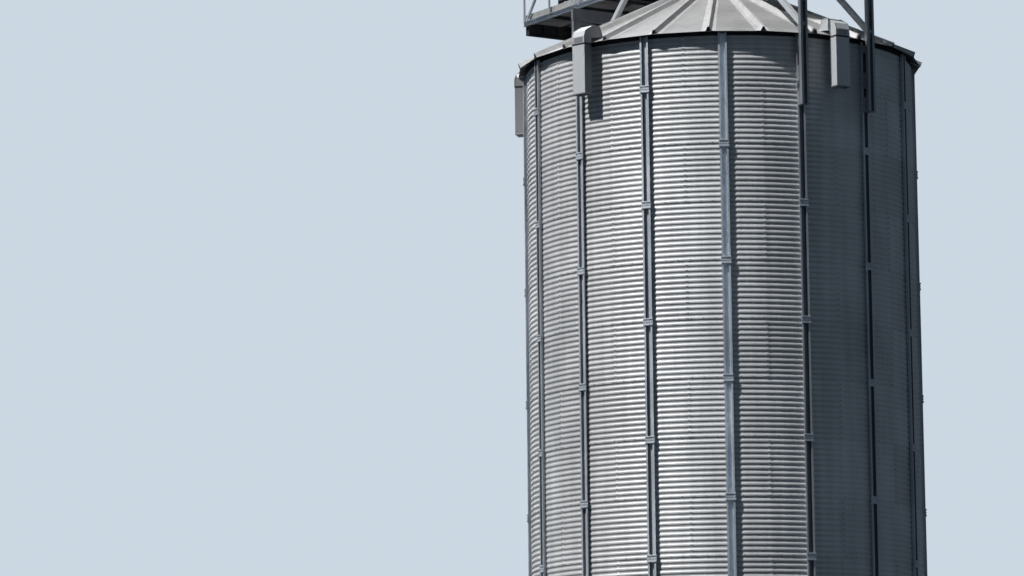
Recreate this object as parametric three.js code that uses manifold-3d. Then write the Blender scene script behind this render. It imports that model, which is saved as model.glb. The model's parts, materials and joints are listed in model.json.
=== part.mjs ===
// A corrugated steel grain silo with the length of overhead conveyor bridge that stands on it.
// Millimetres, +Z up. The origin is on the silo's axis at ground level. The bridge runs along Y over
// the axis. Angles round the silo are measured from -Y towards +X.

import * as THREE from 'three';
import Module from 'manifold-3d';
import { mergeVertices } from 'three/addons/utils/BufferGeometryUtils.js';

const wasm = await Module();
wasm.setup();

// The wall: rings of corrugated sheet, each ring eleven corrugations high.
const CORRUGATION_PITCH = 101.6;
const CORRUGATION_DEPTH = 12.7;
const CORRUGATIONS_PER_RING = 11;
const RING_HEIGHT = CORRUGATION_PITCH * CORRUGATIONS_PER_RING;
const RING_COUNT = 16;
const WALL_RADIUS = 3820;
const WALL_SOLID_THICKNESS = 30;
const WALL_COLUMNS = 8;
const WALL_FACETS_PER_COLUMN = 8;

// The roof: 24 flat panels with a raised rib on each seam, in eight sectors of three panels.
const EAVE_Z = 17790;
const EAVE_RADIUS = 4000;
const ROOF_TOP_RADIUS = 400;
const ROOF_RISE = 1680;
const ROOF_THICKNESS = 25;
const ROOF_PANELS = 24;
const ROOF_SECTORS = 8;
const RIB_FIRST_ANGLE = 7.5;
const RIB_WIDTH = 106;
const RIB_TOP_WIDTH = 34;
const RIB_HEIGHT = 82;
const RIB_START_RADIUS = 480;
const RIB_SINK = 6;

// Stiffeners: outward-open channels with lips, spliced every second ring.
const STIFFENER_COUNT = 16;
const STIFFENER_FIRST_ANGLE = -33.75;
const STIFFENER_OUTER_RADIUS = 3890;
const STIFFENER_STEEL = 6;
const STIFFENER_WEB_WIDTH = 110;
const STIFFENER_WIDTH = 165;
const STIFFENER_TOP_Z = 17780;
const SPLICE_WIDTH = 200;
const SPLICE_HEIGHT = 145;
const SPLICE_STEEL = 8;
const RINGS_PER_SPLICE = 2;

// Roof vents: rectangular ducts that rise outside the eave and bend over on to a roof panel. The bend's
// outline is (radius, height above the eave) points, outside and inside. Each place is the middle of its roof
// panel, in degrees, and how far the vent stands to one side of it.
const VENT_PLACES = [[0, -28], [-75, 28], [-135, -265], [180, 0], [105, 0]];
const VENT_WIDTH = 310;
const VENT_STEEL = 8;
const VENT_OUTER_RADIUS = 4185;
const VENT_INNER_RADIUS = 3985;
const VENT_BOTTOM = -1021;
const VENT_OUTER_BEND = [[4185, 103], [4146, 216], [3913, 343], [3745, 343]];
const VENT_OUTER_BEND_PASSAGE = [[4177, 101], [4140, 210], [3911, 335], [3750, 335]];
const VENT_INNER_BEND = [[3800, 122], [3955, 98], [3985, 45]];
const VENT_INNER_BEND_PASSAGE = [[3688, 147], [3706, 134], [3801, 131], [3960, 106], [3993, 47]];
const VENT_FOOT_BACK_RADIUS = 3655;
const VENT_FOOT_FRONT_RADIUS = 3700;
const VENT_MOUTH_BACK_RADIUS = 3668;
const VENT_MOUTH_FRONT_RADIUS = 3688;

// Peak collar, slide gate and inlet spout, with heights above the eave.
const COLLAR_BORE_RADIUS = 250;
const COLLAR_NECK_RADIUS = 394;
const COLLAR_FLANGE_RADIUS = 440;
const COLLAR_BOTTOM = 1600;
const COLLAR_TOP = 1742;
const GATE_TOP = 1796;
const GATE_HALF_WIDTH = 230;
const GATE_MINUS_X = 620;
const GATE_PLUS_X = 280;
const GATE_DRIVE_LENGTH = 100;
const GATE_DRIVE_HALF_WIDTH = 125;
const GATE_DRIVE_HEIGHT = 118;
const GATE_MOTOR_RADIUS = 58;
const GATE_MOTOR_LENGTH = 330;
const SPOUT_HALF_DEPTH = 180;
const SPOUT_TOP_MIN_X = 145;
const SPOUT_TOP_MAX_X = 455;

// The bridge: six bays between two trusses, with heights above the eave.
const BAY_LENGTH = 2000;
const BAY_COUNT = 6;
const BRIDGE_HALF_LENGTH = BAY_LENGTH * BAY_COUNT / 2;
const TRUSS_OFFSET = 760;
const CHORD_WIDTH = 70;
const CHORD_BOTTOM = 1970;
const CHORD_TOP = 2070;
const HANDRAIL_CENTRE = 3170;
const HANDRAIL_SIZE = 60;
const TRUSS_UPRIGHT_SIZE = 50;
const TRUSS_UPRIGHT_SPACING = 1000;
const TRUSS_DIAGONAL_SIZE = 46;

// The walkway deck, its toe boards and the deep beams under it.
const DECK_BOTTOM = 2030;
const DECK_HALF_WIDTH = TRUSS_OFFSET - CHORD_WIDTH / 2;
const TOE_BOARD_TOP = 2220;
const TOE_BOARD_STEEL = 10;
const CROSS_BEAM_BOTTOM = 1780;
const CROSS_BEAM_WIDTH = 120;
const DECK_HOLE_MIN_X = -130;
const DECK_HOLE_MAX_X = 305;
const DECK_HOLE_HALF_DEPTH = 205;

// The chain conveyor on its legs.
const CONVEYOR_CENTRE_X = 300;
const CASING_WIDTH = 420;
const CASING_TOP = 3370;
const CASING_BOTTOM = 3040;
const CASING_FLANGE = 20;
const CASING_FLANGE_THICKNESS = 16;
const TROUGH_WIDTH = 380;
const TROUGH_BOTTOM = 2670;
const LEG_SECTION = 50;
const LEG_LENGTH = 180;
const LEG_RAIL_HEIGHT = 50;
const GUSSET_POST_LENGTH = 60;
const GUSSET_RADIUS = 320;
const GUSSET_ARC_STEPS = 6;
const SUPPORT_INNER_END = 230;

// The portals that carry the bridge: two posts each, outside the eave and bracketed to stiffeners.
const POST_OFFSET = 789;
const POST_BACK = 3922;
const POST_DEPTH = 75;
const POST_WIDTH = 165;
const POST_STEEL = 10;
const POST_BOTTOM = -1400;
const HEADER_BOTTOM = 1720;
const HEADER_HALF_LENGTH = 880;
const KNEE_SIZE = 95;
const KNEE_POST_HEIGHT = 140;
const KNEE_CHORD_HEIGHT = 1930;
const KNEE_CHORD_Y = 2000;
const BRACKET_ANGLE = 11.25;
const BRACKET_HALF_WIDTH = 70;
const BRACKET_OUTER_RADIUS = 4030;
const BRACKET_SPANS = [[-1390, -1100], [-930, -625], [-240, -100]];

// The concrete floor inside the wall.
const FLOOR_THICKNESS = 120;

// Clearance between separate pieces that meet in turned groups.
const GAP = 0.3;

const EPSILON = 1;
const radians = THREE.MathUtils.degToRad;

const wallOuterRadius = WALL_RADIUS + CORRUGATION_DEPTH / 2;
const wallInnerRadius = wallOuterRadius - WALL_SOLID_THICKNESS;
const roofSlope = ROOF_RISE / (EAVE_RADIUS - ROOF_TOP_RADIUS);
const panelHalfAngle = radians(180 / ROOF_PANELS);
const roofVerticalThickness = ROOF_THICKNESS / Math.cos(Math.atan(roofSlope));

// Height of the roof's top above the eave, at a radius along the middle of a flat panel.
function panelHeight(radius) {
  return (EAVE_RADIUS - radius / Math.cos(panelHalfAngle)) * roofSlope;
}

const wallTop = EAVE_Z + panelHeight(wallOuterRadius) - roofVerticalThickness - GAP;

const galvanised = new THREE.MeshStandardMaterial({ color: 0xb9bec2, roughness: 0.45, metalness: 0.8 });
const roofSteel = new THREE.MeshStandardMaterial({ color: 0xc3c1bc, roughness: 0.55, metalness: 0.7 });
const sectionSteel = new THREE.MeshStandardMaterial({ color: 0x8f98a3, roughness: 0.5, metalness: 0.75 });
const ductSteel = new THREE.MeshStandardMaterial({ color: 0xc4c8cb, roughness: 0.5, metalness: 0.7 });
const darkSteel = new THREE.MeshStandardMaterial({ color: 0x5c636b, roughness: 0.6, metalness: 0.6 });
const gatePaint = new THREE.MeshStandardMaterial({ color: 0x7d6f60, roughness: 0.7, metalness: 0.3 });
const concrete = new THREE.MeshStandardMaterial({ color: 0x9a978f, roughness: 0.9, metalness: 0.0 });

const silo = new THREE.Group();

function addMesh(parent, name, geometry, material) {
  const mesh = new THREE.Mesh(geometry, material);
  mesh.name = name;
  parent.add(mesh);
  return mesh;
}

// A group turned to an angle round the silo, in which -Y points outwards.
function turnedGroup(angle) {
  const group = new THREE.Group();
  group.rotation.z = radians(angle);
  silo.add(group);
  return group;
}

function signedVolume(positions, index) {
  let volume = 0;
  const a = new THREE.Vector3();
  const b = new THREE.Vector3();
  const c = new THREE.Vector3();
  for (let i = 0; i < index.length; i += 3) {
    a.fromArray(positions, index[i] * 3);
    b.fromArray(positions, index[i + 1] * 3);
    c.fromArray(positions, index[i + 2] * 3);
    volume += a.dot(b.cross(c)) / 6;
  }
  return volume;
}

// Turns a closed geometry into a solid for joining and cutting, with its faces pointing out.
function solidFrom(geometry) {
  const plain = geometry.clone();
  plain.deleteAttribute('normal');
  plain.deleteAttribute('uv');
  const merged = mergeVertices(plain, 1e-3);
  const positions = new Float32Array(merged.attributes.position.array);
  const index = new Uint32Array(merged.index.array);
  if (signedVolume(positions, index) < 0) {
    for (let i = 0; i < index.length; i += 3) {
      const swapped = index[i + 1];
      index[i + 1] = index[i + 2];
      index[i + 2] = swapped;
    }
  }
  return new wasm.Manifold(new wasm.Mesh({ numProp: 3, vertProperties: positions, triVerts: index }));
}

function geometryFrom(solid) {
  const mesh = solid.getMesh();
  const geometry = new THREE.BufferGeometry();
  geometry.setAttribute('position', new THREE.BufferAttribute(new Float32Array(mesh.vertProperties), 3));
  geometry.setIndex(new THREE.BufferAttribute(new Uint32Array(mesh.triVerts), 1));
  geometry.computeVertexNormals();
  return geometry;
}

function joined(geometries) {
  return geometries.map(solidFrom).reduce((whole, piece) => whole.add(piece));
}

// A box from its lowest to its highest corner.
function boxBetween(low, high) {
  const size = high.map((value, axis) => value - low[axis]);
  const geometry = new THREE.BoxGeometry(size[0], size[1], size[2]);
  geometry.translate((low[0] + high[0]) / 2, (low[1] + high[1]) / 2, (low[2] + high[2]) / 2);
  return geometry;
}

// A prism on a flat outline, from one height to another.
function prism(outline, bottom, top) {
  const shape = new THREE.Shape(outline.map(([x, y]) => new THREE.Vector2(x, y)));
  const geometry = new THREE.ExtrudeGeometry(shape, { depth: top - bottom, bevelEnabled: false });
  geometry.translate(0, 0, bottom);
  return geometry;
}

// A prism on an outline of (radius, height) points, as wide as stated across the -Y direction.
function sidePrism(outline, width) {
  const shape = new THREE.Shape(outline.map(([radius, height]) => new THREE.Vector2(radius, height)));
  const geometry = new THREE.ExtrudeGeometry(shape, { depth: width, bevelEnabled: false });
  geometry.translate(0, 0, -width / 2);
  geometry.rotateX(Math.PI / 2);
  geometry.rotateZ(-Math.PI / 2);
  return geometry;
}

// A square bar between two points.
function bar(start, end, width, height) {
  const from = new THREE.Vector3(...start);
  const to = new THREE.Vector3(...end);
  const along = to.clone().sub(from);
  const length = along.length();
  const across = new THREE.Vector3(0, 0, 1).cross(along);
  if (across.length() < EPSILON) {
    across.set(1, 0, 0);
  }
  across.normalize();
  along.normalize();
  const upward = along.clone().cross(across);
  const frame = new THREE.Matrix4().makeBasis(across, upward, along);
  const geometry = new THREE.BoxGeometry(width, height, length);
  geometry.applyMatrix4(frame);
  geometry.translate((from.x + to.x) / 2, (from.y + to.y) / 2, (from.z + to.z) / 2);
  return geometry;
}

// A ring turned from a closed outline of (radius, height) points.
function turnedRing(outline, segments, firstAngle) {
  const points = [...outline, outline[0]].map(([radius, height]) => new THREE.Vector2(radius, height));
  const geometry = new THREE.LatheGeometry(points, segments, radians(firstAngle));
  geometry.rotateX(Math.PI / 2);
  return geometry;
}

function pointAt(radius, angle) {
  return [radius * Math.sin(radians(angle)), -radius * Math.cos(radians(angle))];
}

function arcPoints(radius, fromAngle, toAngle, steps) {
  const step = (toAngle - fromAngle) / steps;
  return Array.from({ length: steps + 1 }, (_, k) => pointAt(radius, fromAngle + k * step));
}

function buildFloor() {
  const facets = WALL_COLUMNS * WALL_FACETS_PER_COLUMN;
  const radius = wallInnerRadius - GAP;
  const outline = arcPoints(radius, 0, 360, facets).slice(0, facets);
  addMesh(silo, 'floor_slab', prism(outline, 0, FLOOR_THICKNESS), concrete);
}

function buildWall() {
  const halfAngle = 180 / WALL_COLUMNS - THREE.MathUtils.radToDeg(GAP / 2 / wallInnerRadius);
  const outer = arcPoints(wallOuterRadius, -halfAngle, halfAngle, WALL_FACETS_PER_COLUMN);
  const inner = arcPoints(wallInnerRadius, halfAngle, -halfAngle, WALL_FACETS_PER_COLUMN);
  for (let k = 0; k < WALL_COLUMNS; k += 1) {
    const group = turnedGroup(k * 360 / WALL_COLUMNS);
    addMesh(group, `wall_sheets_${k + 1}`, prism([...outer, ...inner], 0, wallTop), galvanised);
  }
}

function stiffenerOutline() {
  const inner = -(wallOuterRadius + GAP);
  const outer = -STIFFENER_OUTER_RADIUS;
  const half = STIFFENER_WEB_WIDTH / 2;
  const lip = STIFFENER_WIDTH / 2;
  const steel = STIFFENER_STEEL;
  return [
    [-half, inner], [-half, outer + steel], [-lip, outer + steel], [-lip, outer],
    [-half + steel, outer], [-half + steel, inner - steel], [half - steel, inner - steel],
    [half - steel, outer], [lip, outer], [lip, outer + steel], [half, outer + steel], [half, inner],
  ];
}

// Heights of a stiffener's splices, which step down by two rings from the first or second seam.
function spliceHeights(number) {
  const top = RING_COUNT - (number % RINGS_PER_SPLICE === 0 ? RINGS_PER_SPLICE : 1);
  const heights = [];
  for (let ring = top; ring > 0; ring -= RINGS_PER_SPLICE) {
    heights.push(ring * RING_HEIGHT);
  }
  return heights;
}

function buildStiffeners() {
  const outline = stiffenerOutline();
  const face = -STIFFENER_OUTER_RADIUS;
  for (let k = 0; k < STIFFENER_COUNT; k += 1) {
    const pieces = [prism(outline, 0, STIFFENER_TOP_Z)];
    for (const height of spliceHeights(k)) {
      const low = [-SPLICE_WIDTH / 2, face - SPLICE_STEEL, height - SPLICE_HEIGHT / 2];
      const high = [SPLICE_WIDTH / 2, face + STIFFENER_STEEL / 2, height + SPLICE_HEIGHT / 2];
      pieces.push(boxBetween(low, high));
    }
    const group = turnedGroup(STIFFENER_FIRST_ANGLE + k * 360 / STIFFENER_COUNT);
    const name = `stiffener_${String(k + 1).padStart(2, '0')}`;
    addMesh(group, name, geometryFrom(joined(pieces)), sectionSteel);
  }
}

// One roof rib: a bar of slightly tapered section that lies along a seam, down the slope.
function ribGeometry(angle) {
  const half = RIB_WIDTH / 2;
  const topHalf = RIB_TOP_WIDTH / 2;
  const run = EAVE_RADIUS - RIB_START_RADIUS;
  const length = Math.hypot(run, run * roofSlope);
  const section = [[-half, -RIB_SINK], [half, -RIB_SINK], [topHalf, RIB_HEIGHT], [-topHalf, RIB_HEIGHT]];
  const geometry = prism(section, 0, length);
  geometry.rotateX(Math.PI / 2);
  geometry.rotateX(Math.atan(roofSlope));
  geometry.translate(0, -RIB_START_RADIUS, EAVE_Z + run * roofSlope);
  geometry.rotateZ(radians(angle));
  return geometry;
}

function buildRoof() {
  const peak = EAVE_Z + ROOF_RISE;
  const cone = [
    [ROOF_TOP_RADIUS, peak], [EAVE_RADIUS, EAVE_Z],
    [EAVE_RADIUS, EAVE_Z - roofVerticalThickness], [ROOF_TOP_RADIUS, peak - roofVerticalThickness],
  ];
  const shell = solidFrom(turnedRing(cone, ROOF_PANELS, RIB_FIRST_ANGLE));
  const sectorAngle = 360 / ROOF_SECTORS;
  const ribStep = 360 / ROOF_PANELS;
  const near = ROOF_TOP_RADIUS / 2;
  const far = EAVE_RADIUS * 1.2;
  const overlap = RIB_WIDTH / 2 + EPSILON;
  const edge = (angle, distance, offset) => {
    const [x, y] = pointAt(distance, angle);
    const [tangentX, tangentY] = pointAt(-offset, angle + 90);
    return [x + tangentX, y + tangentY];
  };
  const last = RIB_FIRST_ANGLE + sectorAngle;
  const wedge = solidFrom(prism([
    edge(RIB_FIRST_ANGLE, near, overlap), edge(RIB_FIRST_ANGLE, far, overlap),
    edge(last, far, overlap + GAP), edge(last, near, overlap + GAP),
  ], EAVE_Z - ROOF_RISE, EAVE_Z + 2 * ROOF_RISE));
  let sector = shell.intersect(wedge);
  for (let angle = RIB_FIRST_ANGLE; angle < last - EPSILON; angle += ribStep) {
    sector = sector.add(solidFrom(ribGeometry(angle)));
  }
  const geometry = geometryFrom(sector);
  for (let k = 0; k < ROOF_SECTORS; k += 1) {
    addMesh(turnedGroup(k * sectorAngle), `roof_sector_${k + 1}`, geometry.clone(), roofSteel);
  }
}

// A point of a vent that lies on the roof, a given height above it.
function onRoof(radius, height) {
  return [radius, panelHeight(radius) + height];
}

function ventOutline() {
  return [
    [VENT_INNER_RADIUS, VENT_BOTTOM], [VENT_OUTER_RADIUS, VENT_BOTTOM], ...VENT_OUTER_BEND,
    onRoof(VENT_FOOT_BACK_RADIUS, GAP), onRoof(VENT_FOOT_FRONT_RADIUS, GAP), ...VENT_INNER_BEND,
  ].map(([radius, height]) => [radius, EAVE_Z + height]);
}

// The air way inside a vent, which runs out of its lower end and down on to the roof panel.
function ventPassage() {
  const steel = VENT_STEEL;
  return [
    [VENT_INNER_RADIUS + steel, VENT_BOTTOM - steel], [VENT_OUTER_RADIUS - steel, VENT_BOTTOM - steel],
    ...VENT_OUTER_BEND_PASSAGE, onRoof(VENT_MOUTH_BACK_RADIUS, -2 * steel),
    onRoof(VENT_MOUTH_FRONT_RADIUS, -2 * steel), ...VENT_INNER_BEND_PASSAGE,
  ].map(([radius, height]) => [radius, EAVE_Z + height]);
}

function buildVents() {
  const body = solidFrom(sidePrism(ventOutline(), VENT_WIDTH));
  const passage = solidFrom(sidePrism(ventPassage(), VENT_WIDTH - 2 * VENT_STEEL));
  const geometry = geometryFrom(body.subtract(passage));
  VENT_PLACES.forEach(([angle, aside], k) => {
    addMesh(turnedGroup(angle), `roof_vent_${k + 1}`, geometry.clone().translate(aside, 0, 0), ductSteel);
  });
}

function buildPeak() {
  const seat = ROOF_RISE + GAP;
  const collar = [
    [COLLAR_BORE_RADIUS, COLLAR_BOTTOM], [COLLAR_NECK_RADIUS, COLLAR_BOTTOM], [COLLAR_NECK_RADIUS, seat],
    [COLLAR_FLANGE_RADIUS, seat], [COLLAR_FLANGE_RADIUS, COLLAR_TOP], [COLLAR_BORE_RADIUS, COLLAR_TOP],
  ].map(([radius, height]) => [radius, EAVE_Z + height]);
  const ring = solidFrom(turnedRing(collar, ROOF_PANELS, RIB_FIRST_ANGLE));
  addMesh(silo, 'peak_collar', geometryFrom(ring), roofSteel);

  const top = EAVE_Z + GATE_TOP;
  const frame = boxBetween(
    [-GATE_MINUS_X, -GATE_HALF_WIDTH, EAVE_Z + COLLAR_TOP],
    [GATE_PLUS_X, GATE_HALF_WIDTH, top],
  );
  const drive = boxBetween(
    [-GATE_MINUS_X - GATE_DRIVE_LENGTH, -GATE_DRIVE_HALF_WIDTH, top - GATE_DRIVE_HEIGHT],
    [-GATE_MINUS_X + EPSILON, GATE_DRIVE_HALF_WIDTH, top],
  );
  const motor = new THREE.CylinderGeometry(GATE_MOTOR_RADIUS, GATE_MOTOR_RADIUS, GATE_MOTOR_LENGTH, 12);
  motor.translate(
    -GATE_MINUS_X - GATE_DRIVE_LENGTH + GATE_MOTOR_RADIUS,
    GATE_DRIVE_HALF_WIDTH + GATE_MOTOR_LENGTH / 2 - EPSILON,
    top - GATE_MOTOR_RADIUS,
  );
  addMesh(silo, 'slide_gate', geometryFrom(joined([frame, drive, motor])), gatePaint);
}

// The spout widens and leans from the gate up to the conveyor's outlet.
function buildSpout() {
  const bottom = EAVE_Z + GATE_TOP;
  const height = TROUGH_BOTTOM - GATE_TOP;
  const geometry = boxBetween(
    [-SPOUT_HALF_DEPTH, -SPOUT_HALF_DEPTH, bottom], [SPOUT_HALF_DEPTH, SPOUT_HALF_DEPTH, bottom + height],
  );
  const position = geometry.attributes.position;
  for (let i = 0; i < position.count; i += 1) {
    if (position.getZ(i) > bottom + height / 2) {
      position.setX(i, position.getX(i) > 0 ? SPOUT_TOP_MAX_X : SPOUT_TOP_MIN_X);
    }
  }
  addMesh(silo, 'inlet_spout', geometryFrom(solidFrom(geometry)), ductSteel);
}

function trussGeometry(offset) {
  const low = EAVE_Z + CHORD_BOTTOM;
  const high = EAVE_Z + CHORD_TOP;
  const rail = EAVE_Z + HANDRAIL_CENTRE;
  const half = CHORD_WIDTH / 2;
  const railHalf = HANDRAIL_SIZE / 2;
  const end = BRIDGE_HALF_LENGTH;
  const pieces = [
    boxBetween([offset - half, -end, low], [offset + half, end, high]),
    boxBetween([offset - railHalf, -end, rail - railHalf], [offset + railHalf, end, rail + railHalf]),
  ];
  const uprightHalf = TRUSS_UPRIGHT_SIZE / 2;
  for (let y = -end; y <= end; y += TRUSS_UPRIGHT_SPACING) {
    const centre = Math.min(Math.max(y, -end + uprightHalf), end - uprightHalf);
    pieces.push(boxBetween(
      [offset - uprightHalf, centre - uprightHalf, high - EPSILON],
      [offset + uprightHalf, centre + uprightHalf, rail],
    ));
  }
  const size = TRUSS_DIAGONAL_SIZE;
  for (let bay = 0; bay < BAY_COUNT; bay += 1) {
    const node = -end + bay * BAY_LENGTH;
    const apex = node + BAY_LENGTH / 2;
    const foot = uprightHalf + size;
    const bottom = high - size / 2;
    pieces.push(bar([offset, node + foot, bottom], [offset, apex, rail], size, size));
    pieces.push(bar([offset, node + BAY_LENGTH - foot, bottom], [offset, apex, rail], size, size));
  }
  return geometryFrom(joined(pieces));
}

function buildTrusses() {
  addMesh(silo, 'truss_near', trussGeometry(-TRUSS_OFFSET), sectionSteel);
  addMesh(silo, 'truss_far', trussGeometry(TRUSS_OFFSET), sectionSteel);
}

function buildWalkway() {
  const bottom = EAVE_Z + DECK_BOTTOM;
  const top = EAVE_Z + CHORD_TOP;
  const side = DECK_HALF_WIDTH;
  const end = BRIDGE_HALF_LENGTH;
  const pieces = [boxBetween([-side, -end, bottom], [side, end, top])];
  for (const sign of [-1, 1]) {
    const edges = [sign * side, sign * (side - TOE_BOARD_STEEL)].sort((a, b) => a - b);
    pieces.push(boxBetween([edges[0], -end, bottom], [edges[1], end, EAVE_Z + TOE_BOARD_TOP]));
    for (const y of [end - CROSS_BEAM_WIDTH / 2, BAY_LENGTH]) {
      const low = [-side, sign * y - CROSS_BEAM_WIDTH / 2, EAVE_Z + CROSS_BEAM_BOTTOM];
      const high = [side, sign * y + CROSS_BEAM_WIDTH / 2, bottom + EPSILON];
      pieces.push(boxBetween(low, high));
    }
  }
  const hole = boxBetween(
    [DECK_HOLE_MIN_X, -DECK_HOLE_HALF_DEPTH, bottom - EPSILON],
    [DECK_HOLE_MAX_X, DECK_HOLE_HALF_DEPTH, top + EPSILON],
  );
  addMesh(silo, 'walkway_deck', geometryFrom(joined(pieces).subtract(solidFrom(hole))), darkSteel);
}

function buildConveyor() {
  const end = BRIDGE_HALF_LENGTH;
  const middle = CONVEYOR_CENTRE_X;
  const half = CASING_WIDTH / 2;
  const bottom = EAVE_Z + CASING_BOTTOM;
  const top = EAVE_Z + CASING_TOP;
  const pieces = [boxBetween([middle - half, -end, bottom], [middle + half, end, top])];
  for (let y = -end + BAY_LENGTH; y < end; y += BAY_LENGTH) {
    pieces.push(boxBetween(
      [middle - half - CASING_FLANGE, y - CASING_FLANGE_THICKNESS / 2, bottom],
      [middle + half + CASING_FLANGE, y + CASING_FLANGE_THICKNESS / 2, top + CASING_FLANGE],
    ));
  }
  addMesh(silo, 'conveyor_casing', geometryFrom(joined(pieces)), ductSteel);
  const troughHalf = TROUGH_WIDTH / 2;
  const trough = boxBetween(
    [middle - troughHalf, -end, EAVE_Z + TROUGH_BOTTOM], [middle + troughHalf, end, bottom],
  );
  addMesh(silo, 'conveyor_trough', trough, darkSteel);
}

// A quarter-round bracket under the trough, from a post towards the silo's far side.
function gussetOutline(y, top) {
  const points = [[y, top], [y, top - GUSSET_RADIUS]];
  for (let k = 1; k <= GUSSET_ARC_STEPS; k += 1) {
    const turn = Math.PI / 2 * k / GUSSET_ARC_STEPS;
    points.push([
      y + GUSSET_RADIUS * (1 - Math.cos(turn)),
      top - GUSSET_RADIUS * (1 - Math.sin(turn)) - (k === GUSSET_ARC_STEPS ? EPSILON : 0),
    ]);
  }
  points.push([y + GUSSET_RADIUS, top]);
  return points;
}

// Half of the conveyor's legs: wide legs over the cross beams and posts with curved brackets between.
function supportGeometry(sign) {
  const deck = EAVE_Z + CHORD_TOP;
  const seat = EAVE_Z + TROUGH_BOTTOM;
  const pieces = [];
  const reach = CASING_WIDTH / 2;
  const sides = [CONVEYOR_CENTRE_X - reach, CONVEYOR_CENTRE_X + reach - LEG_SECTION];
  const end = BRIDGE_HALF_LENGTH;
  const span = (from, to) => (sign > 0 ? [from, to] : [-to, -from]);
  for (const x of sides) {
    const [railStart, railEnd] = span(SUPPORT_INNER_END, end);
    pieces.push(boxBetween([x, railStart, seat - LEG_RAIL_HEIGHT], [x + LEG_SECTION, railEnd, seat]));
    for (const y of [BAY_LENGTH, 2 * BAY_LENGTH, end - LEG_LENGTH / 2]) {
      const [legStart, legEnd] = span(y - LEG_LENGTH / 2, y + LEG_LENGTH / 2);
      pieces.push(boxBetween([x, legStart, deck], [x + LEG_SECTION, legEnd, seat - EPSILON]));
    }
    for (const y of [BAY_LENGTH / 2, 3 * BAY_LENGTH / 2, 5 * BAY_LENGTH / 2]) {
      const centre = sign * y;
      const half = GUSSET_POST_LENGTH / 2;
      pieces.push(boxBetween([x, centre - half, deck], [x + LEG_SECTION, centre + half, seat - EPSILON]));
      const outline = gussetOutline(centre + half - EPSILON, seat - LEG_RAIL_HEIGHT + EPSILON);
      const gusset = sidePrism(outline, LEG_SECTION);
      gusset.rotateZ(Math.PI);
      gusset.translate(x + LEG_SECTION / 2, 0, 0);
      pieces.push(gusset);
    }
  }
  for (const y of [BAY_LENGTH, 2 * BAY_LENGTH, end - LEG_LENGTH / 2]) {
    const centre = sign * y;
    pieces.push(boxBetween(
      [sides[0], centre - LEG_SECTION / 2, seat - LEG_RAIL_HEIGHT],
      [sides[1], centre + LEG_SECTION / 2, seat - EPSILON],
    ));
  }
  return geometryFrom(joined(pieces));
}

function buildConveyorSupports() {
  addMesh(silo, 'conveyor_supports_front', supportGeometry(-1), darkSteel);
  addMesh(silo, 'conveyor_supports_back', supportGeometry(1), darkSteel);
}

// The outline of a post: a channel that opens outwards, away from the wall.
function postOutline(x) {
  const half = POST_WIDTH / 2;
  const steel = POST_STEEL;
  const back = -POST_BACK;
  const front = back - POST_DEPTH;
  return [
    [-half, back], [-half, front], [-half + steel, front], [-half + steel, back - steel],
    [half - steel, back - steel], [half - steel, front], [half, front], [half, back],
  ].map(([px, py]) => [x + px, py]);
}

function portalGeometry() {
  const front = -POST_BACK - POST_DEPTH;
  const headerBottom = EAVE_Z + HEADER_BOTTOM;
  const headerTop = EAVE_Z + CHORD_BOTTOM;
  const header = solidFrom(boxBetween(
    [-HEADER_HALF_LENGTH, front, headerBottom], [HEADER_HALF_LENGTH, -POST_BACK, headerTop],
  ));
  const pieces = [];
  for (const sign of [-1, 1]) {
    const x = sign * POST_OFFSET;
    pieces.push(prism(postOutline(x), EAVE_Z + POST_BOTTOM, headerBottom + EPSILON));
    pieces.push(bar(
      [x, -POST_BACK - POST_DEPTH / 2, EAVE_Z + KNEE_POST_HEIGHT],
      [x, -KNEE_CHORD_Y, EAVE_Z + KNEE_CHORD_HEIGHT],
      KNEE_SIZE, KNEE_SIZE,
    ));
    for (const [low, high] of BRACKET_SPANS) {
      const bracket = boxBetween(
        [-BRACKET_HALF_WIDTH, -BRACKET_OUTER_RADIUS, EAVE_Z + low],
        [BRACKET_HALF_WIDTH, -STIFFENER_OUTER_RADIUS - GAP, EAVE_Z + high],
      );
      bracket.rotateZ(radians(sign * BRACKET_ANGLE));
      pieces.push(bracket);
    }
  }
  const reach = EAVE_RADIUS * 2;
  const above = solidFrom(boxBetween(
    [-reach, -reach, headerTop - GAP], [reach, reach, headerTop + KNEE_CHORD_HEIGHT],
  ));
  return geometryFrom(header.add(joined(pieces).subtract(above)));
}

function buildPortals() {
  addMesh(turnedGroup(0), 'portal_front', portalGeometry(), sectionSteel);
  const back = portalGeometry();
  back.scale(1, -1, 1);
  addMesh(silo, 'portal_back', geometryFrom(solidFrom(back)), sectionSteel);
}

buildFloor();
buildWall();
buildStiffeners();
buildRoof();
buildVents();
buildPeak();
buildSpout();
buildTrusses();
buildWalkway();
buildConveyor();
buildConveyorSupports();
buildPortals();

export default silo;
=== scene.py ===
"""A corrugated steel grain silo and the conveyor bridge over it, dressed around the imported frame."""

from __future__ import annotations

import json
import logging
import math
import random
from dataclasses import dataclass
from enum import Enum
from functools import lru_cache
from typing import Iterable, Sequence

import bmesh
import bpy
from mathutils import Matrix, Vector

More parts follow.
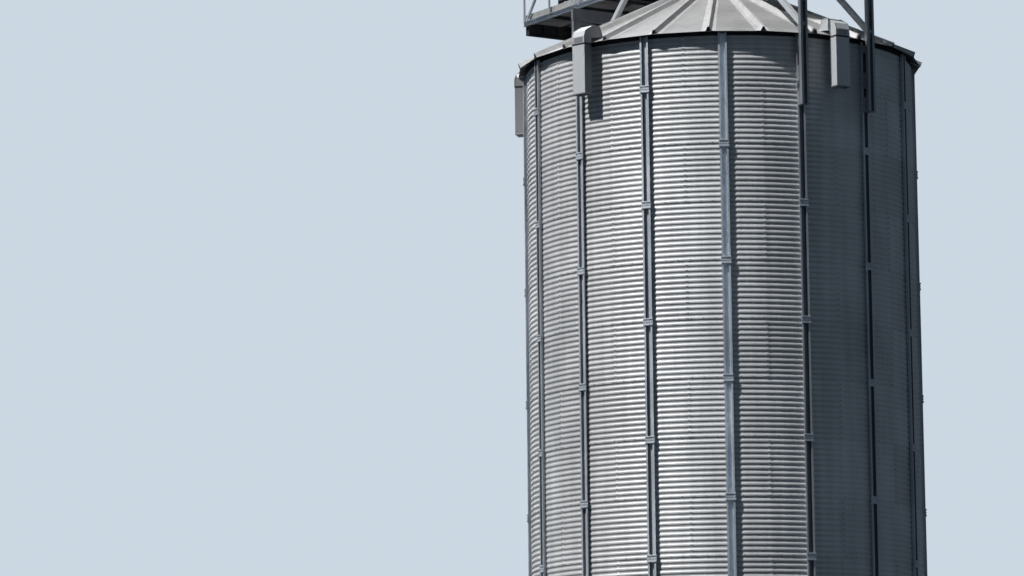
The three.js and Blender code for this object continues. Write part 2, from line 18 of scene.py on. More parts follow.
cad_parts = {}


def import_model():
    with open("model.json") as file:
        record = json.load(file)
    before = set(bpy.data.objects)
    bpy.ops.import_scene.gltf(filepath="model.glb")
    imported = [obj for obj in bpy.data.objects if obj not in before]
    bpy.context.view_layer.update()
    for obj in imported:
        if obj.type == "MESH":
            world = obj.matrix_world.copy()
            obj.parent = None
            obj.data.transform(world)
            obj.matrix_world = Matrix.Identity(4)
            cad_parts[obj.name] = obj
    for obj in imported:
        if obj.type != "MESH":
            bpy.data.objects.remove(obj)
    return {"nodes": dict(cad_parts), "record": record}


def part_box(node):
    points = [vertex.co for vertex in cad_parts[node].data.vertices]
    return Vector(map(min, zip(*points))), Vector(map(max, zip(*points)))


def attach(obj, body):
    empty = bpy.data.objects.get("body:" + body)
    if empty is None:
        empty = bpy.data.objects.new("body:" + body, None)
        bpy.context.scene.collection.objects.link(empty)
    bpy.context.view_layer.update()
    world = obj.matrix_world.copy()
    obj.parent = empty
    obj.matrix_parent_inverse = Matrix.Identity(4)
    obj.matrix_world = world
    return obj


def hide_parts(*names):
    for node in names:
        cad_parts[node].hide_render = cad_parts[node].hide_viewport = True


LOG = logging.getLogger("silo")

# A point of an outline, a bolt's radius and height, and a point in space.
Point = tuple[float, float]
Bolt = tuple[float, float]
Place = Sequence[float]
Colour = tuple[float, float, float]
Socket = bpy.types.NodeSocket

BODY = "root"
SMOOTH_ANGLE = math.radians(35)
TINY = 1e-6

# Sizes shared by several pieces, in metres. Only the wall and its stiffeners count heights from the
# ground. Everything else counts them from the eave and is lifted when it is finished.
CORRUGATION_PITCH = 0.1016
CORRUGATION_DEPTH = 0.0127
RING_HEIGHT = 11 * CORRUGATION_PITCH
RING_COUNT = 16
WALL_RADIUS = 3.82
EAVE_Z = 17.79
EAVE_RADIUS = 4.0
ROOF_TOP_RADIUS = 0.4
ROOF_RISE = 1.68
ROOF_PANELS = 24
PANEL_STEP = 360 / ROOF_PANELS
ROOF_SLOPE = ROOF_RISE / (EAVE_RADIUS - ROOF_TOP_RADIUS)
FIRST_RIB_ANGLE = 7.5
STIFFENER_COUNT = 16
FIRST_STIFFENER_ANGLE = -33.75
FINE_EDGE = 0.001
EDGE = 0.002

SIDES = (-1, 1)
RIGHT = Vector((1, 0, 0)).freeze()
FRONT = Vector((0, -1, 0)).freeze()
BACK = Vector((0, 1, 0)).freeze()
UP = Vector((0, 0, 1)).freeze()
OVER_EAVE = Matrix.Translation((0, 0, EAVE_Z)).freeze()
TO_BACK = Matrix.Diagonal((1, -1, 1, 1)).freeze()


class Slot(Enum):
    """The record's material slots."""

    WALL = "wall_sheet"
    ROOF = "roof_sheet"
    SECTION = "section_steel"
    DUCT = "duct_steel"
    DARK = "dark_steel"
    GATE = "gate_paint"
    CONCRETE = "concrete"


def around(angle: float) -> Matrix:
    """The turn that takes the -Y side of the silo to an angle round it, in degrees towards +X."""
    return Matrix.Rotation(math.radians(angle), 4, "Z")


def shift(x: float = 0.0, y: float = 0.0, z: float = 0.0) -> Matrix:
    """A move along the axes."""
    return Matrix.Translation((x, y, z))


def facing(outward: Vector) -> Matrix:
    """The turn from straight up to a direction."""
    return outward.to_track_quat("Z", "Y").to_matrix().to_4x4()


def spread(low: float, high: float, count: int) -> list[float]:
    """Evenly spaced values from low to high."""
    return [low + (high - low) * k / (count - 1) for k in range(count)]


def pairs(x: float, y: float, heights: Iterable[float], aside: float) -> list[Place]:
    """Two points beside x for each height, all at one y."""
    return [(x + side * aside, y, z) for z in heights for side in SIDES]


def panel_height(radius: float) -> float:
    """Height of the roof along the middle of a flat panel."""
    return (EAVE_RADIUS - radius / math.cos(math.pi / ROOF_PANELS)) * ROOF_SLOPE


def symmetric(half: list[Point]) -> list[Point]:
    """A whole outline from the points of one side of it."""
    return half + [(-x, y) for x, y in reversed(half)]


def channel_section(width: float, depth: float, steel: float) -> list[Point]:
    """The outline of a channel that opens upwards."""
    half, tall = width / 2, depth / 2
    return symmetric([(half, -tall), (half, tall), (half - steel, tall), (half - steel, -tall + steel)])


def side_channel(width: float, height: float, steel: float) -> list[Point]:
    """The outline of a channel that opens sideways."""
    return [(y, -x) for x, y in channel_section(height, width, steel)]


def lipped_section(width: float, depth: float, lip: float, steel: float) -> list[Point]:
    """The outline of a channel whose flanges end in lips that turn towards each other."""
    half, mouth, inner = width / 2, width / 2 - lip, width / 2 - steel
    return symmetric([
        (half, 0), (half, depth), (mouth, depth), (mouth, depth - steel), (inner, depth - steel),
        (inner, steel),
    ])


def beam_section(width: float, depth: float, steel: float) -> list[Point]:
    """The outline of an I beam, centred on its middle."""
    half, tall, web = width / 2, depth / 2, steel / 2
    return symmetric([
        (half, -tall), (half, -tall + steel), (web, -tall + steel), (web, tall - steel), (half, tall - steel),
        (half, tall),
    ])


def angle_section(half: float, steel: float) -> list[Point]:
    """The outline of an angle with its corner at the lower right, from half its width."""
    inner = half - steel
    return [(half, -half), (half, half), (inner, half), (inner, -inner), (-half, -inner), (-half, -half)]


class Graph:
    """A short way to write a node tree.

    Args:
        owner: The new material or world that the tree belongs to.
        coordinates: The coordinates that its patterns follow.
    """

    def __init__(self, owner: bpy.types.Material | bpy.types.World, coordinates: str = "Object") -> None:
        """Empties the tree."""
        owner.use_nodes = True
        self.owner, self.tree = owner, owner.node_tree
        self.tree.nodes.clear()
        self.position = self.node("ShaderNodeTexCoord", coordinates)

    def node(self, kind: str, output: str | int, inputs: dict | None = None, **values: object) -> Socket:
        """Adds a node.

        Args:
            kind: Blender's name of the node type.
            output: The output that is used.
            inputs: For each input a number, a colour, another node's output, or None to leave it.
            **values: Properties of the node.

        Returns:
            The output.
        """
        made = self.tree.nodes.new(kind)
        for key, value in values.items():
            setattr(made, key, value)
        for key, value in (inputs or {}).items():
            socket = made.inputs[key]
            if isinstance(value, Socket):
                self.tree.links.new(value, socket)
            elif value is not None:
                socket.default_value = (*value, 1.0) if socket.type == "RGBA" else value
        return made.outputs[output]

    def stretched(self, *scale: float) -> Socket:
        """The coordinates, scaled along each axis."""
        return self.node("ShaderNodeMapping", "Vector", {"Vector": self.position, "Scale": scale})

    def noise(self, scale: float, detail: float = 3.0, where: Socket | None = None) -> Socket:
        """A noise pattern from 0 to 1.

        Args:
            scale: Repeats a metre.
            detail: Octaves of finer noise.
            where: Coordinates, or the object's own.

        Returns:
            The pattern.
        """
        inputs = {"Vector": where or self.position, "Scale": scale, "Detail": detail}
        return self.node("ShaderNodeTexNoise", "Fac", inputs)

    def spangle(self, scale: float) -> Socket:
        """A random value for each crystal of the zinc, from 0 to 1."""
        cells = self.node("ShaderNodeTexVoronoi", "Color", {"Vector": self.position, "Scale": scale})
        return self.node("ShaderNodeRGBToBW", "Val", {"Color": cells})

    def ranged(
        self, value: Socket, low: float, high: float, to_low: float = 0.0, to_high: float = 1.0,
    ) -> Socket:
        """Maps a value from one range to another and clamps it."""
        inputs = {"Value": value, "From Min": low, "From Max": high, "To Min": to_low, "To Max": to_high}
        return self.node("ShaderNodeMapRange", "Result", inputs, clamp=True)

    def math(self, operation: str, *values: object) -> Socket:
        """Combines two or more values, from the first to the last."""
        result, *others = values
        for value in others:
            result = self.node("ShaderNodeMath", "Value", {0: result, 1: value}, operation=operation)
        return result

    def mix(self, amount: object, first: object, second: object) -> Socket:
        """Mixes two colours by an amount from 0 to 1."""
        return self.node("ShaderNodeMix", 2, {0: amount, 6: first, 7: second}, data_type="RGBA")

    def dimmed(self, colour: object, value: object) -> Socket:
        """A colour made lighter or darker by a factor."""
        return self.node("ShaderNodeHueSaturation", "Color", {"Color": colour, "Value": value})

    def painted(self, share: float) -> Socket:
        """The tone painted on the mesh, random tones with painted light and shade, as a factor about one."""
        tone = self.node("ShaderNodeAttribute", "Fac", attribute_name="tone")
        return self.math("ADD", 1.0, self.math("MULTIPLY", tone, share))

    def height(self) -> Socket:
        """The third coordinate."""
        return self.node("ShaderNodeSeparateXYZ", "Z", {"Vector": self.position})

    def bump(
        self, height: Socket, distance: float, strength: float = 1.0, under: Socket | None = None,
    ) -> Socket:
        """A bump from a height pattern.

        Args:
            height: The pattern.
            distance: Its full height in metres.
            strength: How much of it shows.
            under: A bumped normal that this one adds to.

        Returns:
            The bumped normal.
        """
        inputs = {"Strength": strength, "Distance": distance, "Height": height, "Normal": under}
        return self.node("ShaderNodeBump", "Normal", inputs)

    def surface(
        self, colour: object, roughness: object, metallic: float = 0.0, normal: Socket | None = None,
    ) -> bpy.types.Material:
        """Ends the tree in a surface of one metallic value all over."""
        inputs = {"Base Color": colour, "Roughness": roughness, "Metallic": metallic, "Normal": normal}
        return self.close(self.node("ShaderNodeBsdfPrincipled", "BSDF", inputs))

    def close(self, shader: Socket) -> bpy.types.Material | bpy.types.World:
        """Ends the tree in a shader and gives back what it belongs to."""
        last = self.tree.nodes.new(f"ShaderNodeOutput{type(self.owner).__name__}")
        self.tree.links.new(shader, last.inputs["Surface"])
        return self.owner


@dataclass(frozen=True)
class ZincFinish:
    """Weathered galvanised steel: spangle, rain streaks, sheet tones, light and shade painted on the mesh,
    and patches of white bloom.
    """

    name: str
    colour: Colour
    bloom: Colour
    roughness: float = 0.45
    metallic: float = 0.75
    streaks: float = 0.10
    spangle_size: float = 0.014
    grime: Colour = (0.16, 0.15, 0.14)
    grime_share: float = 0.0
    ripple: float = 0.0

    def make(self) -> bpy.types.Material:
        """Builds the material."""
        g = Graph(bpy.data.materials.new(self.name))
        crystals = g.spangle(1 / self.spangle_size)
        streak = g.noise(1.0, 4.0, g.stretched(7.0, 7.0, 0.35))
        cloud = g.noise(0.9, 4.0)
        tone = g.math(
            "MULTIPLY", g.ranged(crystals, 0.2, 0.8, 0.97, 1.03),
            g.ranged(streak, 0.3, 0.7, 1 - self.streaks, 1 + self.streaks / 2), g.painted(0.06),
        )
        base = g.dimmed(g.mix(g.ranged(cloud, 0.42, 0.68), self.colour, self.bloom), tone)
        if self.grime_share:
            dirt = g.noise(1.0, 5.0, g.stretched(3.0, 3.0, 1.2))
            base = g.mix(g.ranged(dirt, 0.52, 0.78, 0.0, self.grime_share), base, self.grime)
        rough = g.math(
            "ADD", self.roughness, g.ranged(crystals, 0.2, 0.8, -0.05, 0.05),
            g.ranged(cloud, 0.3, 0.7, -0.04, 0.08),
        )
        normal = g.bump(g.noise(5.0, 2.0), 0.002, 0.35)
        if self.ripple:
            normal = g.bump(g.noise(1.0, 1.0, g.stretched(9.0, 9.0, 0.8)), self.ripple, 1.0, normal)
        return g.surface(base, rough, self.metallic, normal)


@dataclass(frozen=True)
class RoofFinish:
    """Roof sheet with dust, a painted highlight along the eave and brown specks near the peak."""

    name: str
    colour: Colour
    bloom: Colour
    stain: Colour = (0.30, 0.21, 0.13)
    roughness: float = 0.6
    metallic: float = 0.2
    edge_height: float = 0.16
    stain_from: float = 0.9

    def make(self) -> bpy.types.Material:
        """Builds the material."""
        g = Graph(bpy.data.materials.new(self.name))
        cloud = g.noise(1.3, 5.0)
        tone = g.math(
            "MULTIPLY", g.ranged(g.spangle(60.0), 0.2, 0.8, 0.975, 1.025), g.painted(0.05),
            g.ranged(g.noise(5.0, 4.0), 0.3, 0.7, 0.90, 1.05),
            # Painted highlight: lighter towards the eave.
            g.ranged(g.height(), EAVE_Z, EAVE_Z + self.edge_height, 1.14, 1.0),
        )
        base = g.dimmed(g.mix(g.ranged(cloud, 0.38, 0.66), self.colour, self.bloom), tone)
        near_top = g.ranged(g.height(), EAVE_Z + self.stain_from, EAVE_Z + ROOF_RISE)
        spots = g.ranged(g.noise(14.0, 4.0), 0.56, 0.70, 0.0, 0.75)
        base = g.mix(g.math("MULTIPLY", near_top, spots), base, self.stain)
        rough = g.math("ADD", self.roughness, g.ranged(cloud, 0.3, 0.7, -0.05, 0.1))
        return g.surface(base, rough, self.metallic, g.bump(g.noise(2.2, 2.0), 0.006, 0.3))


@dataclass(frozen=True)
class DullFinish:
    """Dull dark steel under dust, with some rust in its patches."""

    name: str
    colour: Colour
    dust: Colour
    rust: Colour = (0.21, 0.10, 0.05)
    rust_share: float = 0.25
    roughness: float = 0.62
    metallic: float = 0.4

    def make(self) -> bpy.types.Material:
        """Builds the material."""
        g = Graph(bpy.data.materials.new(self.name))
        fine = g.noise(22.0, 3.0)
        base = g.mix(g.ranged(g.noise(2.4, 5.0), 0.40, 0.66), self.colour, self.dust)
        rusty = g.math("MULTIPLY", g.ranged(g.noise(5.5, 6.0), 0.56, 0.70), self.rust_share)
        base = g.dimmed(g.mix(rusty, base, self.rust), g.ranged(fine, 0.3, 0.7, 0.9, 1.1))
        rough = g.math("ADD", self.roughness, g.ranged(fine, 0.3, 0.7, -0.06, 0.1))
        return g.surface(base, rough, self.metallic, g.bump(fine, 0.001, 0.4))


@dataclass(frozen=True)
class ConcreteFinish:
    """Trowelled concrete with pores and damp patches."""

    name: str
    colour: Colour = (0.46, 0.45, 0.42)
    damp: Colour = (0.33, 0.32, 0.30)

    def make(self) -> bpy.types.Material:
        """Builds the material."""
        g = Graph(bpy.data.materials.new(self.name))
        cloud, grit = g.noise(0.8, 6.0), g.noise(60.0, 3.0)
        base = g.mix(g.ranged(cloud, 0.4, 0.65), self.colour, self.damp)
        base = g.dimmed(base, g.ranged(grit, 0.3, 0.7, 0.9, 1.08))
        return g.surface(base, g.ranged(cloud, 0.3, 0.7, 0.75, 0.92), 0.0, g.bump(grit, 0.002, 0.6))


class Look(Enum):
    """The silo's finishes. A slot's own finish has the slot's name."""

    WALL = ZincFinish("wall_zinc", (0.56, 0.57, 0.58), (0.66, 0.67, 0.68), 0.56, 0.30, ripple=0.0012)
    BOLT = ZincFinish("bolt_zinc", (0.30, 0.31, 0.33), (0.42, 0.43, 0.44), 0.5, 0.6)
    SECTION = ZincFinish("section_zinc", (0.52, 0.56, 0.61), (0.62, 0.66, 0.71), 0.45, 0.5, spangle_size=0.03)
    POST = ZincFinish("post_zinc", (0.36, 0.38, 0.41), (0.45, 0.47, 0.50), 0.45, 0.7, spangle_size=0.03)
    ROOF = RoofFinish("roof_zinc", (0.305, 0.305, 0.307), (0.362, 0.360, 0.356))
    DUCT = ZincFinish("duct_zinc", (0.53, 0.56, 0.585), (0.60, 0.625, 0.64), 0.5, 0.15, streaks=0.06)
    CASING = ZincFinish(
        "casing_zinc", (0.44, 0.44, 0.43), (0.56, 0.55, 0.52), 0.52, 0.4, streaks=0.12, grime_share=0.5)
    DARK = DullFinish("dark_steel", (0.10, 0.11, 0.12), (0.17, 0.17, 0.17))
    # Near-black steel for the walkway's grating and beams, its darkness painted shade on the bridge's
    # underside.
    SOOTY = DullFinish(
        "shade_dark_steel", (0.016, 0.018, 0.020), (0.034, 0.035, 0.037), rust_share=0.08, roughness=0.78,
        metallic=0.0)
    # Near-black: the vent gaskets' dark joints, and on the eave closure also a stand-in for the shade under
    # the eave.
    RUBBER = DullFinish(
        "closure_rubber", (0.012, 0.012, 0.013), (0.03, 0.03, 0.03), rust_share=0.0, roughness=0.85,
        metallic=0.0)
    GATE = DullFinish("gate_paint", (0.33, 0.34, 0.34), (0.40, 0.36, 0.31), rust_share=0.8)
    CONCRETE = ConcreteFinish("floor_concrete")


@lru_cache(maxsize=None)
def material(look: Look) -> bpy.types.Material:
    """The material of a finish, made once."""
    return look.value.make()


class Form:
    """A mesh under construction, made from operators and finished as one piece.

    Args:
        name: The piece's name.
    """

    def __init__(self, name: str) -> None:
        """Starts an empty mesh with a tone value for each face."""
        self.name = name
        self.bm = bmesh.new()
        self.tone = self.bm.faces.layers.float.new("tone")

    def box(self, corner: Place, opposite: Place, place: Matrix = Matrix(), bevel: float = 0.0) -> None:
        """Adds a box.

        Args:
            corner: One of its corners.
            opposite: The corner opposite that one.
            place: Where it goes.
            bevel: Radius of its edges.
        """
        first, last = Vector(corner), Vector(opposite)
        size = [abs(reach) for reach in last - first]
        made = bmesh.ops.create_cube(self.bm, size=1.0)["verts"]
        matrix = place @ Matrix.Translation((first + last) / 2) @ Matrix.Diagonal((*size, 1.0))
        bmesh.ops.transform(self.bm, matrix=matrix, verts=made)
        if bevel:
            edges = list({edge for vert in made for edge in vert.link_edges})
            bmesh.ops.bevel(
                self.bm, geom=edges, offset=bevel, segments=1, profile=0.5, affect="EDGES", material=-1,
            )

    def bar(self, start: Place, end: Place, width: float, height: float) -> None:
        """Adds a rectangular bar between two points, with its height upwards."""
        first, last = Vector(start), Vector(end)
        along = (last - first).normalized()
        across = UP.cross(along)
        across = across.normalized() if across.length > TINY else RIGHT
        turn = Matrix((across, along.cross(across), along)).transposed().to_4x4()
        reach = Vector((width, height, (last - first).length)) / 2
        self.box(-reach, reach, Matrix.Translation((first + last) / 2) @ turn)

    def extrude(self, outline: Iterable[Place], move: Vector) -> list[bmesh.types.BMVert]:
        """Adds a flat outline and extrudes it.

        Args:
            outline: Its points.
            move: The way from its first end to its last.

        Returns:
            The vertices of its last end.
        """
        face = self.bm.faces.new([self.bm.verts.new(point) for point in outline])
        made = bmesh.ops.extrude_face_region(self.bm, geom=[face], use_keep_orig=True)
        moved = [part for part in made["geom"] if isinstance(part, bmesh.types.BMVert)]
        bmesh.ops.translate(self.bm, vec=move, verts=moved)
        return moved

    def section(self, outline: Iterable[Point], start: Place, end: Place, side: Vector = RIGHT) -> None:
        """Adds a rolled section between two points.

        Args:
            outline: Its (side, up) points.
            start: Where it starts.
            end: Where it ends.
            side: The direction that the outline's first number counts along.
        """
        first, last = Vector(start), Vector(end)
        along = (last - first).normalized()
        side = (side - along * side.dot(along)).normalized()
        upward = along.cross(side)
        if upward.z < -TINY:
            upward.negate()
        self.extrude([first + side * x + upward * y for x, y in outline], last - first)

    def cylinder(
        self, radius: float, start: Place, end: Place, segments: int = 16, end_radius: float | None = None,
    ) -> None:
        """Adds a closed cylinder or cone between two points."""
        first, last = Vector(start), Vector(end)
        made = bmesh.ops.create_cone(
            self.bm, cap_ends=True, segments=segments, radius1=radius,
            radius2=radius if end_radius is None else end_radius, depth=(last - first).length,
        )["verts"]
        matrix = Matrix.Translation((first + last) / 2) @ facing(last - first)
        bmesh.ops.transform(self.bm, matrix=matrix, verts=made)

    def bolts(self, points: Iterable[Place], outward: Vector, radius: float, height: float) -> None:
        """Adds bolt heads on their washers, seated a little way into the sheet."""
        turn = facing(outward) @ Matrix.Diagonal((radius, radius, height, 1.0))
        self.add(bolt_stamp(), *[Matrix.Translation(point) @ turn for point in points])

    def turned(
        self, outline: Sequence[Point], segments: int, angle: float = 360.0, first: float = 0.0,
    ) -> None:
        """Turns a closed outline of (radius, height) points round the vertical axis.

        Args:
            outline: The outline's points.
            segments: Steps round the turn.
            angle: How far it turns, in degrees.
            first: The angle it starts from.
        """
        full = abs(angle - 360.0) < TINY
        turn = around(first)
        verts = [self.bm.verts.new(turn @ Vector((0.0, -radius, z))) for radius, z in outline]
        edges = [self.bm.edges.new((a, b)) for a, b in zip(verts, verts[1:] + verts[:1])]
        if not full:
            self.bm.faces.new(verts)
        made = bmesh.ops.spin(
            self.bm, geom=verts + edges, cent=(0, 0, 0), axis=(0, 0, 1), dvec=(0, 0, 0),
            angle=math.radians(angle), steps=segments, use_merge=full, use_duplicate=False,
        )
        if not full:
            self.bm.faces.new([part for part in made["geom_last"] if isinstance(part, bmesh.types.BMVert)])

    def paint(self, value: float, faces: Iterable[bmesh.types.BMFace]) -> None:
        """Stores a tone on some faces."""
        for face in faces:
            face[self.tone] = value

    def add(self, stamp: bpy.types.Mesh, *places: Matrix) -> None:
        """Adds a copy of what Form.stamp made at each place."""
        for place in places:
            copied = stamp.copy()
            copied.transform(place)
            self.bm.from_mesh(copied)
            bpy.data.meshes.remove(copied)

    def stamp(self) -> bpy.types.Mesh:
        """Closes the form as a mesh."""
        bmesh.ops.recalc_face_normals(self.bm, faces=self.bm.faces)
        mesh = bpy.data.meshes.new(self.name)
        self.bm.to_mesh(mesh)
        self.bm.free()
        return mesh

    def finish(
        self, look: Look, slot: Slot, *replaces: str, smooth: bool = False, place: Matrix = OVER_EAVE,
    ) -> None:
        """Makes the piece, gives it its finish and lets it ride on the body.

        Args:
            look: Its finish.
            slot: The record's slot for that finish; it is not used.
            *replaces: The frame's nodes that it stands for.
            smooth: Shades it smooth up to the smoothing angle.
            place: A last move of the whole mesh.
        """
        mesh = self.stamp()
        mesh.transform(place)
        mesh.materials.append(material(look))
        if smooth:
            mesh.shade_smooth()
            mesh.set_sharp_from_angle(angle=SMOOTH_ANGLE)
        piece = bpy.data.objects.new(self.name, mesh)
        bpy.context.scene.collection.objects.link(piece)
        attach(piece, BODY)
        if replaces:
            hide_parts(*replaces)
        LOG.info("%s: %d faces", self.name, len(mesh.polygons))


@lru_cache(maxsize=None)
def bolt_stamp() -> bpy.types.Mesh:
    """A bolt head on a washer, of radius and height one, that stands on its sheet and faces upwards."""
    form = Form("bolt")
    form.cylinder(1.0, (0, 0, -0.4), (0, 0, 0.28), 6, 0.94)
    form.cylinder(0.66, (0, 0, 0.2), (0, 0, 1.0), 6, 0.6)
    return form.stamp()


@dataclass
class Wall:
    """The corrugated sheets with their laps and bolts. Its heights count from the ground."""

    columns: int = 8
    steps_per_column: int = 12
    samples_per_pitch: int = 14
    flatness: float = 0.15
    crest_phase: float = 0.032
    sheet_inner_radius: float = 3.7965
    top: float = EAVE_Z - 0.052
    lap_step: float = 0.0024
    lap_width: float = 0.052
    lap_steel: float = 0.0018
    lap_back: float = 3.806
    lap_gap: float = 0.004
    bolt: Bolt = (0.011, 0.008)
    bolt_offset: float = 0.014
    ring_bolts: int = 104
    ring_bolts_from: float = 1.0
    closure_radii: tuple[float, float] = (3.797, 3.812)
    closure_heights: tuple[float, float] = (EAVE_Z - 0.102, EAVE_Z + 0.045)
    closure_steps: int = 96
    # Painted shade: the lower flanks and grooves of the corrugation are darkened, most on the side that faces
    # the key light, with more painted shade over the middle of that side.
    dust_tone: float = -4.2
    dust_lag: float = math.radians(30)
    weather_side: float = -78.0
    weather_reach: float = 68.0
    weather_edge: float = 10.0
    weather_core: float = 26.0
    core_dust: float = 0.5
    core_film: float = -2.6
    sheltered_dust: float = 0.15
    tone_seed: int = 11

    def turn_at(self, height: float) -> float:
        """How far the corrugation has turned at a height, in radians past a crest."""
        return 2 * math.pi * (height - self.crest_phase) / CORRUGATION_PITCH

    def dust_at(self, height: float, angle: float) -> float:
        """The painted shade under each crest, strongest on the side that faces the key light, with more
        painted shade over the middle of that side.

        Args:
            height: Height above the ground.
            angle: The angle round the wall, in degrees.

        Returns:
            The tone, zero or less.
        """
        away = abs((angle - self.weather_side + 180) % 360 - 180)
        past = min(max((away - self.weather_reach) / self.weather_edge, 0.0), 1.0)
        core = max(0.0, 1.0 - away / self.weather_core)
        share = 1.0 + self.core_dust * core - (1.0 - self.sheltered_dust) * past
        under_crest = max(0.0, -math.sin(self.turn_at(height) + self.dust_lag))
        return self.dust_tone * share * under_crest + self.core_film * core

    def radius_at(self, height: float) -> float:
        """Outer radius of the corrugation, with the step where a ring laps over the one below it."""
        ring_share = (height % RING_HEIGHT) / RING_HEIGHT
        turn = self.turn_at(height)
        wave = (math.cos(turn) - self.flatness * math.cos(3 * turn)) / (1 - self.flatness)
        return WALL_RADIUS + wave * CORRUGATION_DEPTH / 2 - self.lap_step * ring_share

    def heights(self, low: float, high: float) -> list[float]:
        """Heights of the profile's points between two heights."""
        return spread(low, high, round((high - low) * self.samples_per_pitch / CORRUGATION_PITCH) + 1)

    def profile(self) -> list[Point]:
        """The outer (radius, height) points, with a ledge at each ring."""
        points: list[Point] = []
        for ring in range(RING_COUNT):
            low = ring * RING_HEIGHT
            *levels, last = self.heights(low, min(low + RING_HEIGHT, self.top))
            points += [(self.radius_at(z + TINY), z) for z in levels]
            points.append((self.radius_at(last - TINY), last - 1e-4))
        return points

    def build_columns(self) -> None:
        """Builds the eight columns of sheets."""
        inner = [(self.sheet_inner_radius, z) for z in (self.top, self.top / 2, 0.0)]
        width = 360 / self.columns
        form = Form("sheet_column")
        form.turned(self.profile() + inner, self.steps_per_column, width, -width / 2)
        column = form.stamp()
        tones = random.Random(self.tone_seed)
        for k in range(self.columns):
            form = Form(f"corrugated_sheets_{k + 1}")
            form.add(column, Matrix())
            shade = [[tones.uniform(-1, 1) for _ in range(2)] for _ in range(RING_COUNT + 1)]
            for face in form.bm.faces:
                centre = face.calc_center_median()
                ring = int(max(0.0, centre.z) / RING_HEIGHT)
                side = 0 if ring % 2 or centre.x < 0 else 1
                angle = k * width + math.degrees(math.atan2(centre.x, -centre.y))
                # Random sheet tone plus the painted shade under the crests.
                face[form.tone] = shade[ring][side] + self.dust_at(centre.z, angle)
            place = around(k * width)
            form.finish(Look.WALL, Slot.WALL, f"wall_sheets_{k + 1}", smooth=True, place=place)

    def build_closure(self) -> None:
        """Builds the closure strip between the top sheets and the roof, near-black to stand in for the shade
        under the eave.
        """
        form = Form("eave_closure")
        (near, far), (low, high) = self.closure_radii, self.closure_heights
        form.turned([(near, low), (far, low), (far, high), (near, high)], self.closure_steps)
        form.finish(Look.RUBBER, Slot.DARK, smooth=True, place=Matrix())

    def seam_angles(self, ring: int) -> list[float]:
        """Angles of a ring's vertical laps, which shift by half a sheet from ring to ring."""
        start = 0.0 if ring % 2 else 180 / self.columns
        return [start + k * 360 / self.columns for k in range(self.columns)]

    def lap(self, height: float) -> bpy.types.Mesh:
        """Builds one ring's lap, a strip of the overlying sheet that stands proud of the wall."""
        form = Form("lap")
        face = [(self.radius_at(z + TINY) + self.lap_steel, z) for z in self.heights(0.0, height)]
        width = math.degrees(self.lap_width / WALL_RADIUS)
        form.turned(face + [(self.lap_back, height), (self.lap_back, 0.0)], 1, width, -width / 2)
        return form.stamp()

    def add_bolt(self, form: Form, angle: float, height: float, lift: float = 0.0) -> None:
        """Adds a bolt on the wall, or on something of a thickness that lies on it."""
        outward = around(angle) @ FRONT
        form.bolts([outward * (self.radius_at(height) + lift) + UP * height], outward, *self.bolt)

    def lap_bolts(self, height: float) -> bpy.types.Mesh:
        """Builds the two rows of bolts down one ring's lap."""
        form, z = Form("lap_bolts"), self.crest_phase
        while z < height - 0.02:
            for side in SIDES:
                self.add_bolt(form, math.degrees(side * self.bolt_offset / WALL_RADIUS), z, self.lap_steel)
            z += CORRUGATION_PITCH
        return form.stamp()

    def build_seams(self) -> None:
        """Builds the vertical laps, their bolts and the bolts round each ring's lower edge."""
        strips, bolts, ring_form = Form("vertical_laps"), Form("wall_bolts"), Form("ring_bolts")
        for k in range(self.ring_bolts):
            self.add_bolt(ring_form, k * 360 / self.ring_bolts + self.ring_bolts_from, self.crest_phase)
        round_ring = ring_form.stamp()
        laps: dict[float, tuple[bpy.types.Mesh, bpy.types.Mesh]] = {}
        for ring in range(RING_COUNT):
            low = ring * RING_HEIGHT
            height = min(RING_HEIGHT, self.top - low) - self.lap_gap
            if height not in laps:
                laps[height] = self.lap(height), self.lap_bolts(height)
            places = [around(angle) @ shift(z=low) for angle in self.seam_angles(ring)]
            strips.add(laps[height][0], *places)
            bolts.add(laps[height][1], *places)
            if ring:
                bolts.add(round_ring, shift(z=low))
        strips.finish(Look.WALL, Slot.WALL, smooth=True, place=Matrix())
        bolts.finish(Look.BOLT, Slot.WALL, place=Matrix())

    def build(self) -> None:
        """Builds the whole wall."""
        self.build_columns()
        self.build_closure()
        self.build_seams()


